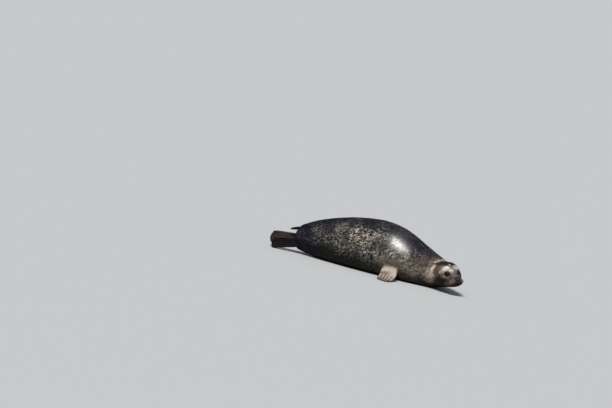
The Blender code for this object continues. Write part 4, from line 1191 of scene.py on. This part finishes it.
# The coat's parts, by where along the body they start and end, and then those of the flippers.
PARTS = (
    ("coat_face", -0.01, 0.100),
    ("coat_cheeks", 0.100, 0.235),
    ("coat_neck", 0.235, 0.46),
    ("coat_chest", 0.46, 0.68),
    ("coat_trunk", 0.68, 0.90),
    ("coat_loin", 0.90, 1.13),
    ("coat_rump", 1.13, 1.42),
    ("coat_fore_flippers", 0.0, 1.0),
    ("coat_hind_flippers", 0.0, 1.0),
)
ON_BODY = 7
part_of = np.digitize(hide_back, [start for name, start, end in PARTS[1:ON_BODY]])
part_of = np.where(limb_share >= 0.3, ON_BODY + (which_limb >= 2), part_of)[nearest]
v_round = turn / (2 * math.pi) + 0.5
ROUNDED = 0.22  # how far a blade's shading turns towards its edges and its tip
MARGIN, PATCH = 0.02, 0.003  # each part has a flat map of its own area of the hide
coat_finish = marked_material("coat")[0]
for number, (name, start, end) in enumerate(PARTS):
    mine = np.flatnonzero(part_of == number)
    count, corner_count = len(mine), len(points)
    spots, on_limb = straight[nearest[mine]], on_sheet[nearest[mine]]
    ahead_by = (size[mine, None] * ahead_share)[..., None] * lean[mine, None]
    aside_by = (size[mine, None] * TUFT_WIDTH * edge_side)[..., None] * across_lean[mine, None]
    lift = size[mine, None] * TUFT_HEIGHT * proud[mine, None] * lift_share
    lift_by = lift[..., None] * up_from[mine, None]
    shape = roots[mine, None] + ahead_by + aside_by + lift_by
    shape[..., 2] = np.maximum(shape[..., 2], 0.0)
    flat = blade_faces[None] + (np.arange(count) * corner_count)[:, None, None]
    tufts = bpy.data.meshes.new(name)
    tufts.from_pydata(shape.reshape(-1, 3).tolist(), [], flat.reshape(-1, 3).tolist())
    if "flippers" in name:
        u = MARGIN + 0.5 * (which_limb[nearest[mine]] % 2) + 0.45 * on_limb[:, 1]
        v = MARGIN + 0.48 * (on_limb[:, 2] > 0) + 0.22 * (on_limb[:, 0] + 1)
    else:
        u = MARGIN + (1 - 2 * MARGIN) * (spots[:, 0] - start) / (end - start)
        v = MARGIN + (1 - 2 * MARGIN) * v_round[nearest[mine]]
    around_root = np.stack([ahead_share - 0.45, edge_side], -1) * PATCH / 2
    flat_map = np.stack([u, v], -1)[:, None] + around_root
    baked = tufts.uv_layers.new(name="OFBake")
    baked.data.foreach_set("uv", flat_map.reshape(-1, 2)[flat.reshape(-1)].astype(np.float32).ravel())
    repeated = np.repeat(np.arange(count), corner_count)
    keep(tufts, "tone", np.insert(tuft_tone[mine], 3, 1.0, axis=1)[repeated])
    keep(tufts, "marks", tuft_marks[mine][repeated])
    keep(tufts, "root", roots[mine][repeated])
    tufts.shade_smooth()
    rounding = aside_by / (size[mine, None, None] * TUFT_WIDTH)
    rounding += 0.5 * lean[mine, None] * (ahead_share > 0.9)[:, None]
    own = up_from[mine][:, None] + ROUNDED * rounding
    tufts.normals_split_custom_set_from_vertices(unit(own.reshape(-1, 3)).tolist())
    piece = in_scene(name, tufts)
    tufts.materials.append(coat_finish)
    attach(piece, "root")

# ----------------------------------------------------------------------
# Camera, lights and floor. Not part of the seal: a plain pale floor, a soft high sun on the camera's side, a
# weak wide light from the head's end, and a long lens that looks from a little above the floor.
# ----------------------------------------------------------------------
FLOOR_SIZE, FLOOR_COLOUR = 240.0, (0.45, 0.46, 0.47, 1.0)
SKY, SKY_STRENGTH = (0.80, 0.86, 0.94, 1.0), 0.30
ground = bmesh.new()
bmesh.ops.create_grid(ground, x_segments=2, y_segments=2, size=FLOOR_SIZE / 2)
floor = new_piece("floor", ground)
floor_finish, tree, shader = new_finish("floor")
shader.inputs["Base Color"].default_value = FLOOR_COLOUR
shader.inputs["Roughness"].default_value = 0.85
floor.data.materials.append(floor_finish)

CAMERA_AZIMUTH, CAMERA_ELEVATION, CAMERA_ROLL = math.radians(25), math.radians(6), math.radians(11.3)
CAMERA_DISTANCE, FRAME_WIDTH, SENSOR = 80.0, 4.08, 36.0
AIM_RIGHT, AIM_UP = -0.4137, 0.4443
level = Vector((math.cos(CAMERA_AZIMUTH), math.sin(CAMERA_AZIMUTH), 0.0))
look = Vector((-level.y, level.x, 0.0)) * math.cos(CAMERA_ELEVATION)
look.z = -math.sin(CAMERA_ELEVATION)
upward = level.cross(look)
right = level * math.cos(CAMERA_ROLL) + upward * math.sin(CAMERA_ROLL)
top = upward * math.cos(CAMERA_ROLL) - level * math.sin(CAMERA_ROLL)
lens = bpy.data.cameras.new("camera")
lens.sensor_width, lens.lens = SENSOR, SENSOR * CAMERA_DISTANCE / FRAME_WIDTH
lens.clip_end = 400.0
camera = in_scene("camera", lens)
eye_point = right * AIM_RIGHT + top * AIM_UP - look * CAMERA_DISTANCE
camera.matrix_world = placing(eye_point, right, top, -look)
bpy.context.scene.camera = camera


def soft_sun(name, way, strength, spread_angle, colour):
    """A wide soft light from far off, shining along a direction."""
    light = bpy.data.lights.new(name, "SUN")
    light.energy, light.angle, light.color = strength, spread_angle, colour
    in_scene(name, light).rotation_euler = Vector(way).to_track_quat("-Z", "Y").to_euler()


soft_sun("key", (0.0, 0.48, -0.88), 3.6, math.radians(18), (1.0, 0.975, 0.94))
soft_sun("fill", (-0.75, 0.55, -0.40), 0.30, math.radians(60), (0.88, 0.93, 1.0))
world = bpy.data.worlds.new("studio")
world.use_nodes = True
sky = world.node_tree.nodes["Background"]
sky.inputs["Color"].default_value = SKY
sky.inputs["Strength"].default_value = SKY_STRENGTH
bpy.context.scene.world = world
bpy.context.scene.view_settings.view_transform = "Standard"
